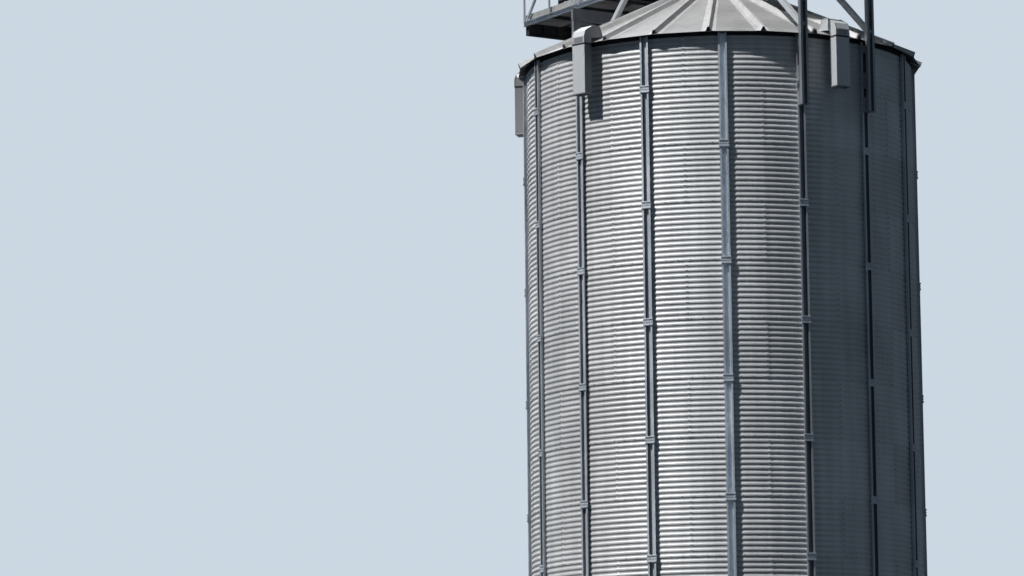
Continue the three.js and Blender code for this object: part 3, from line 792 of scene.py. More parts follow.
@dataclass
class Stiffeners:
    """The upright channels with lips, their splices and bolts. Their heights count from the ground."""

    inner_radius: float = 3.8267
    outer_radius: float = 3.890
    web_width: float = 0.104
    width: float = 0.165
    lip_depth: float = 0.013
    steel: float = 0.005
    nesting: float = 0.0015
    splice_width: float = 0.196
    splice_height: float = 0.14
    splice_rib: float = 0.026
    splice_bolt: Bolt = (0.014, 0.011)
    wall_bolt: Bolt = (0.015, 0.009)
    bolt_rows: tuple[float, ...] = (2.5, 5.5, 8.5)
    # Painted light in the channels: a painted reflection where they face between -45 and -20 degrees, painted
    # shade inside them elsewhere.
    washed_angles: tuple[float, float] = (-45.0, -20.0)
    washed_tone: float = 8.0
    open_angles: tuple[float, float] = (-100.0, -45.0)
    sooty_tone: float = -10.0

    def outline(self, grow: float) -> list[Point]:
        """The (across, outward) points of one length.

        Args:
            grow: How much wider and prouder this length is than the one it nests in.

        Returns:
            The outline's points.
        """
        half, lip, steel = self.web_width / 2 + grow, self.width / 2 + grow, self.steel
        low, high = -self.inner_radius, -self.outer_radius - grow
        edge = high + self.lip_depth
        return symmetric([
            (-half, low), (-half, high + steel), (-lip + steel, high + steel), (-lip + steel, edge),
            (-lip, edge), (-lip, high), (-half + steel, high), (-half + steel, low - steel),
        ])

    def splices(self, number: int) -> list[float]:
        """Heights of one stiffener's splices, from the top down."""
        first = RING_COUNT - (2 if number % 2 == 0 else 1)
        return [ring * RING_HEIGHT for ring in range(first, 0, -2)]

    def splice(self) -> bpy.types.Mesh:
        """Builds a splice plate with a rib along its top and bottom, and its bolts."""
        form = Form("splice")
        half, tall, rib = self.splice_width / 2, self.splice_height / 2, self.splice_rib
        face = self.outer_radius
        form.box((-half, -face - 0.007, -tall), (half, -face + 0.002, tall))
        for side in SIDES:
            form.box(
                (-half, -face - 0.020, side * tall), (half, -face - 0.006, side * (tall - rib)), bevel=0.003)
        form.bolts([(x, -face - 0.007, 0) for x in spread(-0.075, 0.075, 4)], FRONT, *self.splice_bolt)
        return form.stamp()

    def paint_recess(self, form: Form, angle: float) -> None:
        """Paints light and shade into the inside of a channel that still stands on the -Y side: a painted
        reflection where it faces between -45 and -20 degrees, painted shade elsewhere, on the flanks only
        between -100 and -45 degrees.

        Args:
            form: The stiffener.
            angle: Where it goes round the wall, from -180 to 180 degrees.
        """
        web = flank = self.sooty_tone
        if self.washed_angles[0] < angle < self.washed_angles[1]:
            web = flank = self.washed_tone
        elif self.open_angles[0] < angle < self.open_angles[1]:
            web = 0.0
        half = self.web_width / 2
        # Painted shade, or a painted reflection, on the channel's inner faces.
        for face in form.bm.faces:
            centre = face.calc_center_median()
            if abs(centre.x) < half and -centre.y < self.outer_radius - self.steel:
                face[form.tone] = flank if abs(centre.x) > half - 2 * self.steel else web

    def build(self) -> None:
        """Builds the sixteen stiffeners."""
        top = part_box("stiffener_01")[1].z
        splice, pair_form = self.splice(), Form("wall_bolt_pair")
        pair_form.bolts(pairs(0, -self.inner_radius - self.steel, (0,), 0.03), FRONT, *self.wall_bolt)
        pair = pair_form.stamp()
        shares = [share * CORRUGATION_PITCH for share in self.bolt_rows]
        rows = [ring * RING_HEIGHT + above for ring in range(RING_COUNT) for above in shares]
        for k in range(STIFFENER_COUNT):
            form = Form(f"wall_stiffener_{k + 1:02d}")
            cuts = [top, *self.splices(k), 0.0]
            for number, (high, low) in enumerate(zip(cuts, cuts[1:])):
                outline = self.outline(0.0 if number % 2 else self.nesting)
                form.section(outline, (0, 0, low + 0.002), (0, 0, high))
            form.add(splice, *[shift(z=z) for z in self.splices(k)])
            form.add(pair, *[shift(z=z) for z in rows if z < top - 0.05])
            angle = FIRST_STIFFENER_ANGLE + k * 360 / STIFFENER_COUNT
            self.paint_recess(form, angle - 360 if angle > 180 else angle)
            node = f"stiffener_{k + 1:02d}"
            form.finish(Look.SECTION, Slot.SECTION, node, smooth=True, place=around(angle))


@dataclass
class Roof:
    """The ribbed cone of flat panels."""

    sectors: int = 8
    sheet: float = 0.004
    rib_width: float = 0.116
    rib_top: float = 0.030
    rib_low: float = -0.008
    rib_height: float = 0.086
    rib_start: float = 0.47
    rib_mouth_depth: float = 0.3
    rib_sheet: float = 0.003
    rib_bolts: int = 10
    bolt: Bolt = (0.013, 0.008)
    # Painted highlight: the ribs, their flanges and bolts are painted lighter.
    rib_tone: float = 11.0
    # Painted shade on the panels' undersides.
    underside_tone: float = -13.0
    flange_width: float = 0.085
    flange_top_width: float = 0.030
    flange_steel: float = 0.003
    tone_seed: int = 5

    def point(self, radius: float, angle: float) -> Vector:
        """A point on the cone of the panels' seams."""
        return around(angle) @ Vector((0, -radius, (EAVE_RADIUS - radius) * ROOF_SLOPE))

    def build_panel(self, form: Form, angle: float, tone: float) -> None:
        """Adds one flat panel.

        Args:
            form: The sector.
            angle: The angle of the panel's first seam.
            tone: The panel's tone.
        """
        before = set(form.bm.faces)
        first, last = angle, angle + PANEL_STEP
        corners = [
            self.point(ROOF_TOP_RADIUS, first), self.point(EAVE_RADIUS, first),
            self.point(EAVE_RADIUS, last), self.point(ROOF_TOP_RADIUS, last),
        ]
        moved = form.extrude(corners, Vector((0, 0, -self.sheet)))
        form.paint(tone, [f for f in form.bm.faces if f not in before])
        # Painted shade on the panel's underside.
        form.paint(self.underside_tone, [f for f in moved[0].link_faces if all(v in moved for v in f.verts)])

    def build_flange(self, form: Form, sign: int) -> None:
        """Adds the lap flange on one side of a rib, which narrows to the top and lies on its panel.

        Args:
            form: The rib, on the -Y side.
            sign: -1 or 1, the side along X.
        """
        near = self.rib_width / 2 - 0.004
        ends = ((self.rib_start, self.flange_top_width), (EAVE_RADIUS + 0.003, self.flange_width))
        corners = []
        for radius, width in ends:
            across = (self.point(radius, sign * PANEL_STEP) - self.point(radius, 0.0)).normalized()
            corners.append([self.point(radius, 0.0) + across * reach for reach in (near, near + width)])
        form.extrude(corners[0] + corners[1][::-1], UP * self.flange_steel)

    def rib(self) -> bpy.types.Mesh:
        """Builds one raised rib on the -Y side, hollow at its eave end, with its flanges and bolts."""
        form, half = Form("rib"), self.rib_width / 2
        start, end = self.point(self.rib_start, 0.0), self.point(EAVE_RADIUS + 0.006, 0.0)
        form.section(symmetric([(half, self.rib_low), (self.rib_top / 2, self.rib_height)]), start, end)
        mouth = min(form.bm.faces, key=lambda f: f.calc_center_median().y)
        bmesh.ops.inset_region(form.bm, faces=[mouth], thickness=self.rib_sheet)
        pushed = bmesh.ops.extrude_discrete_faces(form.bm, faces=[mouth])["faces"]
        back = (start - end).normalized() * self.rib_mouth_depth
        bmesh.ops.translate(form.bm, vec=back, verts=list({v for f in pushed for v in f.verts}))
        upward = (start - end).cross(RIGHT).normalized()
        if upward.z < 0:
            upward.negate()
        for sign in SIDES:
            self.build_flange(form, sign)
            aside = RIGHT * sign * (half + 0.016) + upward * 0.001
            points = [start.lerp(end, k / self.rib_bolts) + aside for k in range(1, self.rib_bolts)]
            form.bolts(points, upward, *self.bolt)
        # Painted highlight over the whole rib.
        form.paint(self.rib_tone, form.bm.faces)
        return form.stamp()

    def build(self) -> None:
        """Builds the eight sectors."""
        tones = random.Random(self.tone_seed)
        per_sector = ROOF_PANELS // self.sectors
        rib = self.rib()
        for k in range(self.sectors):
            form = Form(f"roof_panels_{k + 1}")
            for n in range(per_sector):
                angle = FIRST_RIB_ANGLE + (k * per_sector + n) * PANEL_STEP
                self.build_panel(form, angle, tones.uniform(-1, 1))
                form.add(rib, around(angle))
            form.finish(Look.ROOF, Slot.ROOF, f"roof_sector_{k + 1}", smooth=True)


@dataclass
class Vents:
    """The rectangular ducts that rise outside the eave and bend over on to the roof."""

    places: tuple[Point, ...] = ((0.0, -0.028), (-75.0, 0.028), (-135.0, -0.265), (180.0, 0.0), (105.0, 0.0))
    width: float = 0.31
    sheet: float = 0.006
    outer_radius: float = 4.185
    inner_radius: float = 3.985
    bottom: float = -1.021
    seam: float = -0.041
    outer_bend: tuple[Point, ...] = ((4.185, 0.103), (4.146, 0.216), (3.913, 0.343), (3.745, 0.343))
    inner_bend: tuple[Point, ...] = ((3.800, 0.122), (3.955, 0.098), (3.985, 0.045))
    foot: tuple[float, float] = (3.655, 3.700)
    foot_flange: float = 0.03
    fold: tuple[float, float] = (0.009, 0.016)
    cover: tuple[float, float, float] = (0.115, -0.012, 0.092)
    cover_screw: Bolt = (0.006, 0.005)
    bolt: Bolt = (0.008, 0.006)
    bolt_heights: tuple[float, ...] = (-0.95, -0.72, -0.49, -0.26)
    lee_tone: float = -10.0

    def on_roof(self, radius: float) -> Point:
        """A (radius, height) point a little over the roof."""
        return radius, panel_height(radius) + 0.001

    def duct(self) -> bpy.types.Mesh:
        """Builds the duct as a sheet with its lower end open, standing folds and a flange on the roof."""
        form, half = Form("duct"), self.width / 2
        outline = [
            (self.inner_radius, self.bottom), (self.outer_radius, self.bottom), *self.outer_bend,
            self.on_roof(self.foot[0]), self.on_roof(self.foot[1]), *self.inner_bend,
        ]
        form.extrude([(-half, -radius, z) for radius, z in outline], RIGHT * self.width)
        bmesh.ops.recalc_face_normals(form.bm, faces=form.bm.faces)
        mouth = [f for f in form.bm.faces if all(v.co.z < self.bottom + 1e-4 for v in f.verts)]
        bmesh.ops.delete(form.bm, geom=mouth, context="FACES_ONLY")
        bmesh.ops.solidify(form.bm, geom=list(form.bm.faces), thickness=self.sheet)
        bend = ((self.outer_radius, self.seam), *self.outer_bend, self.on_roof(self.foot[0]))
        for (r0, z0), (r1, z1) in zip(bend, bend[1:]):
            for x in (-half - 0.001, half + 0.001):
                form.bar((x, -r0, z0), (x, -r1, z1), *self.fold)
        slope, middle = math.atan(ROOF_SLOPE), sum(self.foot) / 2
        place = shift(y=-middle, z=panel_height(middle) + 0.004) @ Matrix.Rotation(slope, 4, "X")
        reach = (self.foot[1] - self.foot[0]) / 2 / math.cos(slope) + self.foot_flange
        wide = half + self.foot_flange
        form.box((-wide, -reach, -0.003), (wide, reach, 0.003), place)
        # Painted shade on the duct's side faces towards +X.
        form.paint(self.lee_tone, [f for f in form.bm.faces if f.calc_center_median().x > half - self.sheet])
        return form.stamp()

    def band(self, form: Form, height: float, tall: float, proud: float) -> None:
        """Adds a band round all four sides of the duct at a height."""
        half, outer, inner = self.width / 2, -self.outer_radius, -self.inner_radius
        low, high = height - tall / 2, height + tall / 2
        for near, far in ((outer - proud, outer + 0.001), (inner - 0.001, inner + proud)):
            form.box((-half - proud, near, low), (half + proud, far, high), bevel=EDGE)
        for side in SIDES:
            form.box((side * (half + proud), outer, low), (side * (half - 0.001), inner, high), bevel=EDGE)

    def trim(self) -> bpy.types.Mesh:
        """Builds the band at the foot, the cover plate over the seam with its screws, and the bolts."""
        form = Form("vent_band")
        self.band(form, self.bottom + 0.014, 0.024, 0.005)
        (x, low, high), face = self.cover, -self.outer_radius
        form.box((-x, face - 0.004, low), (x, face + 0.001, high), bevel=FINE_EDGE)
        screws = pairs(0, face - 0.004, (low + 0.015, high - 0.015), x - 0.015)
        form.bolts(screws, FRONT, *self.cover_screw)
        form.bolts(pairs(0, face, self.bolt_heights, 0.13), FRONT, *self.bolt)
        return form.stamp()

    def build(self) -> None:
        """Builds the vents."""
        bands, gaskets, gasket_form = Form("vent_bands"), Form("vent_gaskets"), Form("vent_gasket")
        self.band(gasket_form, self.seam, 0.030, 0.007)
        duct, trim, gasket = self.duct(), self.trim(), gasket_form.stamp()
        for k, (angle, aside) in enumerate(self.places):
            place = around(angle) @ shift(aside)
            form = Form(f"vent_duct_{k + 1}")
            form.add(duct, place)
            form.finish(Look.DUCT, Slot.DUCT, f"roof_vent_{k + 1}")
            bands.add(trim, place)
            gaskets.add(gasket, place)
        bands.finish(Look.BOLT, Slot.DUCT)
        gaskets.finish(Look.RUBBER, Slot.DARK)


@dataclass
class Peak:
    """The collar on the roof's top, the slide gate over it and the spout up to the conveyor."""

    bore: float = 0.25
    neck: float = 0.394
    flange: float = 0.44
    collar_low: float = 1.60
    collar_top: float = 1.742
    collar_bolts: int = 24
    collar_bolt: Bolt = (0.013, 0.010)
    gate_top: float = 1.796
    gate_x: tuple[float, float] = (-0.62, 0.28)
    gate_half: float = 0.23
    gate_plate: float = 0.010
    gate_bolt: Bolt = (0.011, 0.008)
    drive_length: float = 0.10
    drive_half: float = 0.125
    drive_height: float = 0.118
    motor_radius: float = 0.058
    motor_length: float = 0.33
    spout_half: float = 0.18
    spout_top: float = 2.67
    spout_top_x: tuple[float, float] = (0.145, 0.455)
    spout_flange: float = 0.022
    spout_plate: float = 0.008
    spout_bolt: Bolt = (0.010, 0.008)
    spout_bands: tuple[float, ...] = (0.36, 0.68)

    def build_collar(self) -> None:
        """Builds the collar with its two flanges and bolts."""
        form = Form("roof_peak_collar")
        seat, top, rim = ROOF_RISE + 0.0005, self.collar_top, self.flange - 0.008
        form.turned([
            (self.bore, self.collar_low), (self.neck - 0.004, self.collar_low), (self.neck - 0.004, seat),
            (self.flange, seat), (self.flange, seat + 0.008), (self.neck + 0.006, seat + 0.012),
            (self.neck - 0.006, top - 0.012), (rim, top - 0.010), (rim, top), (self.bore, top),
        ], 72)
        seated = Vector((0, -self.flange + 0.022, seat + 0.008))
        turns = [around(k * 360 / self.collar_bolts) for k in range(self.collar_bolts)]
        form.bolts([turn @ seated for turn in turns], UP, *self.collar_bolt)
        form.finish(Look.ROOF, Slot.ROOF, "peak_collar", smooth=True)

    def build_drive(self, form: Form) -> None:
        """Adds the gate's drive with its shaft end, its finned motor and the motor's box."""
        high, left = self.gate_top, self.gate_x[0] - self.drive_length
        start, radius = self.drive_half, self.motor_radius
        form.box((left, -start, high - self.drive_height), (self.gate_x[0] + 0.004, start, high), bevel=0.012)
        shaft = left + 0.05, high - 0.06
        form.cylinder(0.045, (shaft[0], -start - 0.03, shaft[1]), (shaft[0], -start, shaft[1]), 20)
        x, z, end = left + radius, high - radius, start + self.motor_length
        fins = [(1.0, y, y + 0.008, 1.0) for y in spread(start + 0.03, start + 0.24, 11)]
        for share, near, far, far_share in (
            (0.86, start - 0.002, end - 0.02, 0.86), *fins, (1.0, end - 0.055, end, 0.8),
        ):
            form.cylinder(radius * share, (x, near, z), (x, far, z), 24, radius * far_share)
        form.box((x - 0.035, start + 0.09, z + 0.04), (x + 0.035, start + 0.19, high - 0.002), bevel=0.006)

    def build_gate(self) -> None:
        """Builds the slide gate: two flange frames, the blade between them, its drive and motor."""
        form = Form("slide_gate_frame")
        low, high, half, plate = self.collar_top, self.gate_top, self.gate_half, self.gate_plate
        left, right = self.gate_x
        for z in (low, high - plate):
            form.box((left, -half, z), (right, half, z + plate), bevel=EDGE)
        form.box((left + 0.02, -half + 0.024, low + 0.008), (right - 0.02, half - 0.024, high - 0.008))
        for y in (-half + 0.012, half - 0.012):
            for x in spread(left + 0.05, right - 0.05, 9):
                form.cylinder(0.008, (x, y, low + 0.006), (x, y, high - 0.006), 8)
                form.bolts([(x, y, high)], UP, *self.gate_bolt)
        self.build_drive(form)
        form.finish(Look.GATE, Slot.GATE, "slide_gate", smooth=True)

    def build_spout(self) -> None:
        """Builds the spout, which widens and leans over to the conveyor, with a flange at each end."""
        form = Form("conveyor_spout")
        low, high, wide, plate = self.gate_top, self.spout_top, self.spout_half, self.spout_plate
        half, (x0, x1) = wide - self.spout_flange, self.spout_top_x
        upper = (x0 + self.spout_flange, x1 - self.spout_flange)
        for vert in bmesh.ops.create_cube(form.bm, size=1.0)["verts"]:
            x, y, z = vert.co
            left, right = upper if z > 0 else (-half, half)
            vert.co = right if x > 0 else left, half if y > 0 else -half, high if z > 0 else low
        for z, left, right, side in ((low, -wide, wide, 1), (high - plate, x0, x1, -1)):
            form.box((left, -wide, z), (right, wide, z + plate), bevel=FINE_EDGE)
            face = z + plate if side > 0 else z
            rows = (-wide + 0.011, wide - 0.011)
            points = [(x, y, face) for x in spread(left + 0.03, right - 0.03, 4) for y in rows]
            form.bolts(points, UP * side, *self.spout_bolt)
        reach = half + 0.004
        for share in self.spout_bands:
            z = low + (high - low) * share
            left, right = -half + (upper[0] + half) * share, half + (upper[1] - half) * share
            form.box((left - 0.004, -reach, z - 0.008), (right + 0.004, reach, z + 0.008), bevel=EDGE)
        form.finish(Look.CASING, Slot.DUCT, "inlet_spout")

    def build(self) -> None:
        """Builds all three."""
        self.build_collar()
        self.build_gate()
        self.build_spout()


@dataclass(frozen=True)
class Bridge:
    """Sizes that the bridge's pieces share."""

    half_length: float = 6.0
    bay: float = 2.0
    truss_offset: float = 0.76
    chord_width: float = 0.07
    chord_low: float = 1.97
    deck_low: float = 2.03
    deck_top: float = 2.07
    rail: float = 3.17
    conveyor_x: float = 0.30
    casing_half: float = 0.21
    casing_low: float = 3.04
    casing_top: float = 3.37
    trough_half: float = 0.19
    trough_low: float = 2.67

    @property
    def deck_half(self) -> float:
        """Half the deck's width, between the trusses' chords."""
        return self.truss_offset - self.chord_width / 2

    def nodes(self, step: float) -> list[float]:
        """Places along the bridge, one step apart, from end to end."""
        return spread(-self.half_length, self.half_length, round(2 * self.half_length / step) + 1)


BRIDGE = Bridge()


@dataclass
class Trusses:
    """The two side trusses of the bridge, whose upper chords are its handrails."""

    rail_size: float = 0.06
    upright: float = 0.05
    diagonal: float = 0.046
    steel: float = 0.006
    thin_steel: float = 0.005
    plate: tuple[float, float] = (0.20, 0.11)
    bolt: Bolt = (0.013, 0.010)

    def gusset(self) -> bpy.types.Mesh:
        """Builds a gusset plate in the plane of the truss, with four bolts on each face."""
        form = Form("gusset")
        half, tall, face = self.plate[0] / 2, self.plate[1], self.thin_steel
        form.box((-face, -half, 0), (face, half, tall), bevel=FINE_EDGE)
        rows = ((-0.065, 0.62), (-0.022, 0.36), (0.022, 0.36), (0.065, 0.62))
        for side in SIDES:
            form.bolts([(side * face, y, tall * share) for y, share in rows], RIGHT * side, *self.bolt)
        return form.stamp()

    def build_side(self, name: str, node: str, side: int) -> None:
        """Builds one truss.

        Args:
            name: The piece's name.
            node: The frame's node that it stands for.
            side: -1 for the near truss, 1 for the far one.
        """
        b, form, out = BRIDGE, Form(name), RIGHT * side
        x, end, steel = side * b.truss_offset, b.half_length, self.steel
        low, high, rail = b.chord_low, b.deck_top, b.rail
        half, tall, middle = b.chord_width / 2, high - low, (high + low) / 2
        form.section(side_channel(2 * half, tall, steel), (x, -end, middle), (x, end, middle), out)
        edge = self.rail_size / 2
        handrail = [(across, -up) for across, up in angle_section(edge, steel)]
        form.section(handrail, (x, -end, rail), (x, end, rail), out)
        wide = self.upright / 2
        post = angle_section(wide, self.thin_steel)
        for node_y in b.nodes(b.bay / 2):
            y = min(max(node_y, -end + wide), end - wide)
            form.section(post, (x, y, high - 0.004), (x, y, rail + edge - steel), out)
            form.box((x - half + steel, y - 0.004, low + steel), (x + half - 0.004, y + 0.004, high - steel))
        gusset, flip, reach = self.gusset(), Matrix.Diagonal((1, 1, -1, 1)), end - self.plate[0] / 2
        form.add(gusset, *[shift(x, min(max(y, -reach), reach), high - 0.03) for y in b.nodes(b.bay)])
        slim = self.diagonal / 2
        brace, foot = angle_section(slim, self.thin_steel), wide + 2 * slim
        for y in b.nodes(b.bay)[:-1]:
            apex = y + b.bay / 2
            for start, aside in ((y + foot, -0.02), (y + b.bay - foot, 0.02)):
                form.section(brace, (x, start, high - slim), (x, apex + aside, rail - 0.02), out)
            form.add(gusset, shift(x, apex, rail + 0.02) @ flip)
        form.finish(Look.SECTION, Slot.SECTION, node)

    def build(self) -> None:
        """Builds both trusses."""
        self.build_side("bridge_truss_near", "truss_near", -1)
        self.build_side("bridge_truss_far", "truss_far", 1)


@dataclass
class Walkway:
    """The grating, its joists and deep cross beams, and the toe boards."""

    toe_top: float = 2.22
    toe_bolt: Bolt = (0.011, 0.008)
    beam_low: float = 1.78
    beam_width: float = 0.12
    beam_steel: float = 0.009
    beam_lap: float = 0.006
    web_plate: float = 0.008
    joist: tuple[float, float, float] = (0.06, 0.06, 0.005)
    panel: float = 1.0
    bar_step: float = 0.030
    bar_steel: float = 0.004
    edge_steel: float = 0.005
    grating_depth: float = 0.032
    hole: tuple[float, float, float] = (-0.13, 0.305, 0.205)

    def grating_panel(self, hole: bool) -> bpy.types.Mesh:
        """Builds one panel of grating from y = 0 to its length, with half of the spout's hole or whole."""
        form, edge = Form("grating_panel"), self.edge_steel
        high = BRIDGE.deck_top
        low, half, end = high - self.grating_depth, BRIDGE.deck_half - 0.004, self.panel - 0.004
        x0, x1, reach = self.hole
        x = -half
        while x < half - 0.002:
            start = reach if hole and x0 < x < x1 else 0.004
            form.box((x, start, low), (x + self.bar_steel, end, high - 0.001))
            x += self.bar_step
        strips = [(y - 0.003, y + 0.003, high - 0.008, high - 0.0005) for y in spread(0.05, 0.95, 10)]
        strips += [(y, y + edge, low, high) for y in (0.004, end - edge)]
        for near, far, bottom, top in strips:
            spans = ((-half, x0), (x1, half)) if hole and near < reach else ((-half, half),)
            for left, right in spans:
                form.box((left, near, bottom), (right, far, top))
        if hole:
            for left, right, near in ((x0, x1, reach - edge), (x0 - edge, x0, 0.0), (x1, x1 + edge, 0.0)):
                form.box((left, near, low - 0.02), (right, reach, high + 0.02))
        return form.stamp()

    def build_deck(self) -> None:
        """Builds the grating, which stands for the deck's node, and the joists and beams under it."""
        b, grating, form = BRIDGE, Form("walkway_grating"), Form("walkway_beams")
        whole, holed = self.grating_panel(False), self.grating_panel(True)
        for k in range(round(b.half_length / self.panel)):
            place = shift(y=k * self.panel)
            grating.add(whole if k else holed, place, TO_BACK @ place)
        grating.finish(Look.SOOTY, Slot.DARK, "walkway_deck")
        deck, low, half, wide = b.deck_low, self.beam_low, b.deck_half, self.beam_width / 2
        tall, last, plate = deck + self.beam_lap - low, b.half_length - wide, self.web_plate
        for y in (-last, -b.bay, b.bay, last):
            outline, z = beam_section(2 * wide, tall, self.beam_steel), low + tall / 2
            form.section(outline, (-half, y, z), (half, y, z), BACK)
            for x in (-half, -0.36, 0.0, 0.36, half - plate):
                form.box((x, y - wide, low + 0.008), (x + plate, y + wide, deck - 0.004))
        outline, z = side_channel(*self.joist), deck - 0.026
        cut = (self.hole[0] - 0.006, self.hole[1] + 0.006)
        for y in b.nodes(self.panel)[1:-1]:
            if abs(abs(y) - b.bay) < 0.01:
                continue
            spans = ((-half, half),) if abs(y) > 0.01 else ((-half, cut[0]), (cut[1], half))
            for left, right in spans:
                form.section(outline, (left, y, z), (right, y, z), BACK)
        form.finish(Look.SOOTY, Slot.DARK)

    def build_toe_boards(self) -> None:
        """Builds the toe boards, in lengths that lap at each bay, with a turned-in top edge."""
        b, form = BRIDGE, Form("toe_boards")
        low, high = b.deck_low, self.toe_top
        for side in SIDES:
            x = side * b.deck_half
            for k, y in enumerate(b.nodes(b.bay)[:-1]):
                outer, inner = (x - side * inset for inset in ((0.002, 0.008) if k % 2 else (0.0, 0.005)))
                end = y + b.bay - 0.002
                form.box((outer, y, low), (inner, end, high), bevel=FINE_EDGE)
                form.box((inner, y, high - 0.004), (inner - side * 0.018, end, high))
            points = [(x, y, z) for y in b.nodes(0.5)[1:-1] for z in (low + 0.075, high - 0.04)]
            form.bolts(points, RIGHT * side, *self.toe_bolt)
        form.finish(Look.CASING, Slot.DARK)

    def build(self) -> None:
        """Builds the walkway."""
        self.build_deck()
        self.build_toe_boards()


@dataclass
class Conveyor:
    """The conveyor's lidded casing and the trough under it."""

    flange: float = 0.02
    flange_steel: float = 0.016
    flange_bolt: Bolt = (0.008, 0.009)
    lid_bolt: Bolt = (0.012, 0.009)
    lid_bolt_step: float = 0.125
    end_gap: float = 0.010

    def casing_length(self) -> bpy.types.Mesh:
        """Builds one bay of casing from y = 0, with its lid, its side rails and its ribs."""
        b, form = BRIDGE, Form("casing_length")
        low, high, x, half = b.casing_low, b.casing_top, b.conveyor_x, b.casing_half
        start, end = self.end_gap, b.bay - self.end_gap
        form.box((x - half + 0.008, 0.001, low), (x + half - 0.008, b.bay - 0.001, high - 0.010))
        form.box((x - half, start, high - 0.008), (x + half, end, high), bevel=EDGE)
        for side in SIDES:
            face, inner = x + side * half, x + side * (half - 0.009)
            form.box((face, start, high - 0.045), (x + side * (half - 0.004), end, high - 0.004))
            form.box((face, start, low), (inner, end, low + 0.028), bevel=EDGE)
            for y in (b.bay / 3, b.bay * 2 / 3):
                form.box((face, y - 0.016, low + 0.026), (inner, y + 0.016, high - 0.044), bevel=0.003)
        return form.stamp()

    def flange_frame(self) -> bpy.types.Mesh:
        """Builds a pair of casing flanges about y = 0."""
        b, form = BRIDGE, Form("casing_flange")
        x, half, top = b.conveyor_x, b.casing_half + self.flange, b.casing_top + self.flange
        for side in SIDES:
            face = side * self.flange_steel / 2
            form.box((x - half, side * 0.0006, b.casing_low), (x + half, face, top), bevel=FINE_EDGE)
        return form.stamp()

    def lid_row(self) -> bpy.types.Mesh:
        """Builds the lid bolts down both sides of one bay of casing."""
        b, form = BRIDGE, Form("lid_bolts")
        steps = range(1, round(b.bay / self.lid_bolt_step))
        for side in SIDES:
            x = b.conveyor_x + side * b.casing_half
            points = [(x, k * self.lid_bolt_step, b.casing_top - 0.024) for k in steps]
            form.bolts(points, RIGHT * side, *self.lid_bolt)
        return form.stamp()

    def flange_ring(self) -> bpy.types.Mesh:
        """Builds the bolts round a pair of casing flanges, on both faces."""
        b, form = BRIDGE, Form("flange_bolts")
        x, aside = b.conveyor_x, b.casing_half + 0.011
        for side in SIDES:
            face = side * self.flange_steel / 2
            points = pairs(x, face, spread(b.casing_low + 0.04, b.casing_low + 0.28, 4), aside)
            points += [(across, face, b.casing_top + 0.010) for across in spread(x - 0.15, x + 0.15, 4)]
            form.bolts(points, BACK * side, *self.flange_bolt)
        return form.stamp()

    def build_casing(self) -> None:
        """Builds the casing and its bolts."""
        form, bolts = Form("conveyor_housing"), Form("conveyor_bolts")
        bays = [shift(y=y) for y in BRIDGE.nodes(BRIDGE.bay)[:-1]]
        form.add(self.casing_length(), *bays)
        form.add(self.flange_frame(), *bays[1:])
        bolts.add(self.lid_row(), *bays)
        bolts.add(self.flange_ring(), *bays[1:])
        form.finish(Look.CASING, Slot.DUCT, "conveyor_casing")
        bolts.finish(Look.BOLT, Slot.DUCT)

    def build_trough(self) -> None:
        """Builds the trough with its lips and ribs."""
        b, form = BRIDGE, Form("conveyor_return_trough")
        low, high, x, half, end = b.trough_low, b.casing_low, b.conveyor_x, b.trough_half, b.half_length
        body, lips = (0.010, low, high), ((0.0, low, low + 0.010), (0.0, high - 0.030, high - 0.002))
        for inset, bottom, top in (body, *lips):
            form.box((x - half + inset, -end, bottom), (x + half - inset, end, top))
        for y in b.nodes(0.5)[1:-1]:
            form.box((x - half, y - 0.012, low + 0.008), (x + half, y + 0.012, high - 0.028), bevel=EDGE)
        form.finish(Look.DARK, Slot.DARK, "conveyor_trough")

    def build(self) -> None:
        """Builds the conveyor."""
        self.build_casing()
        self.build_trough()


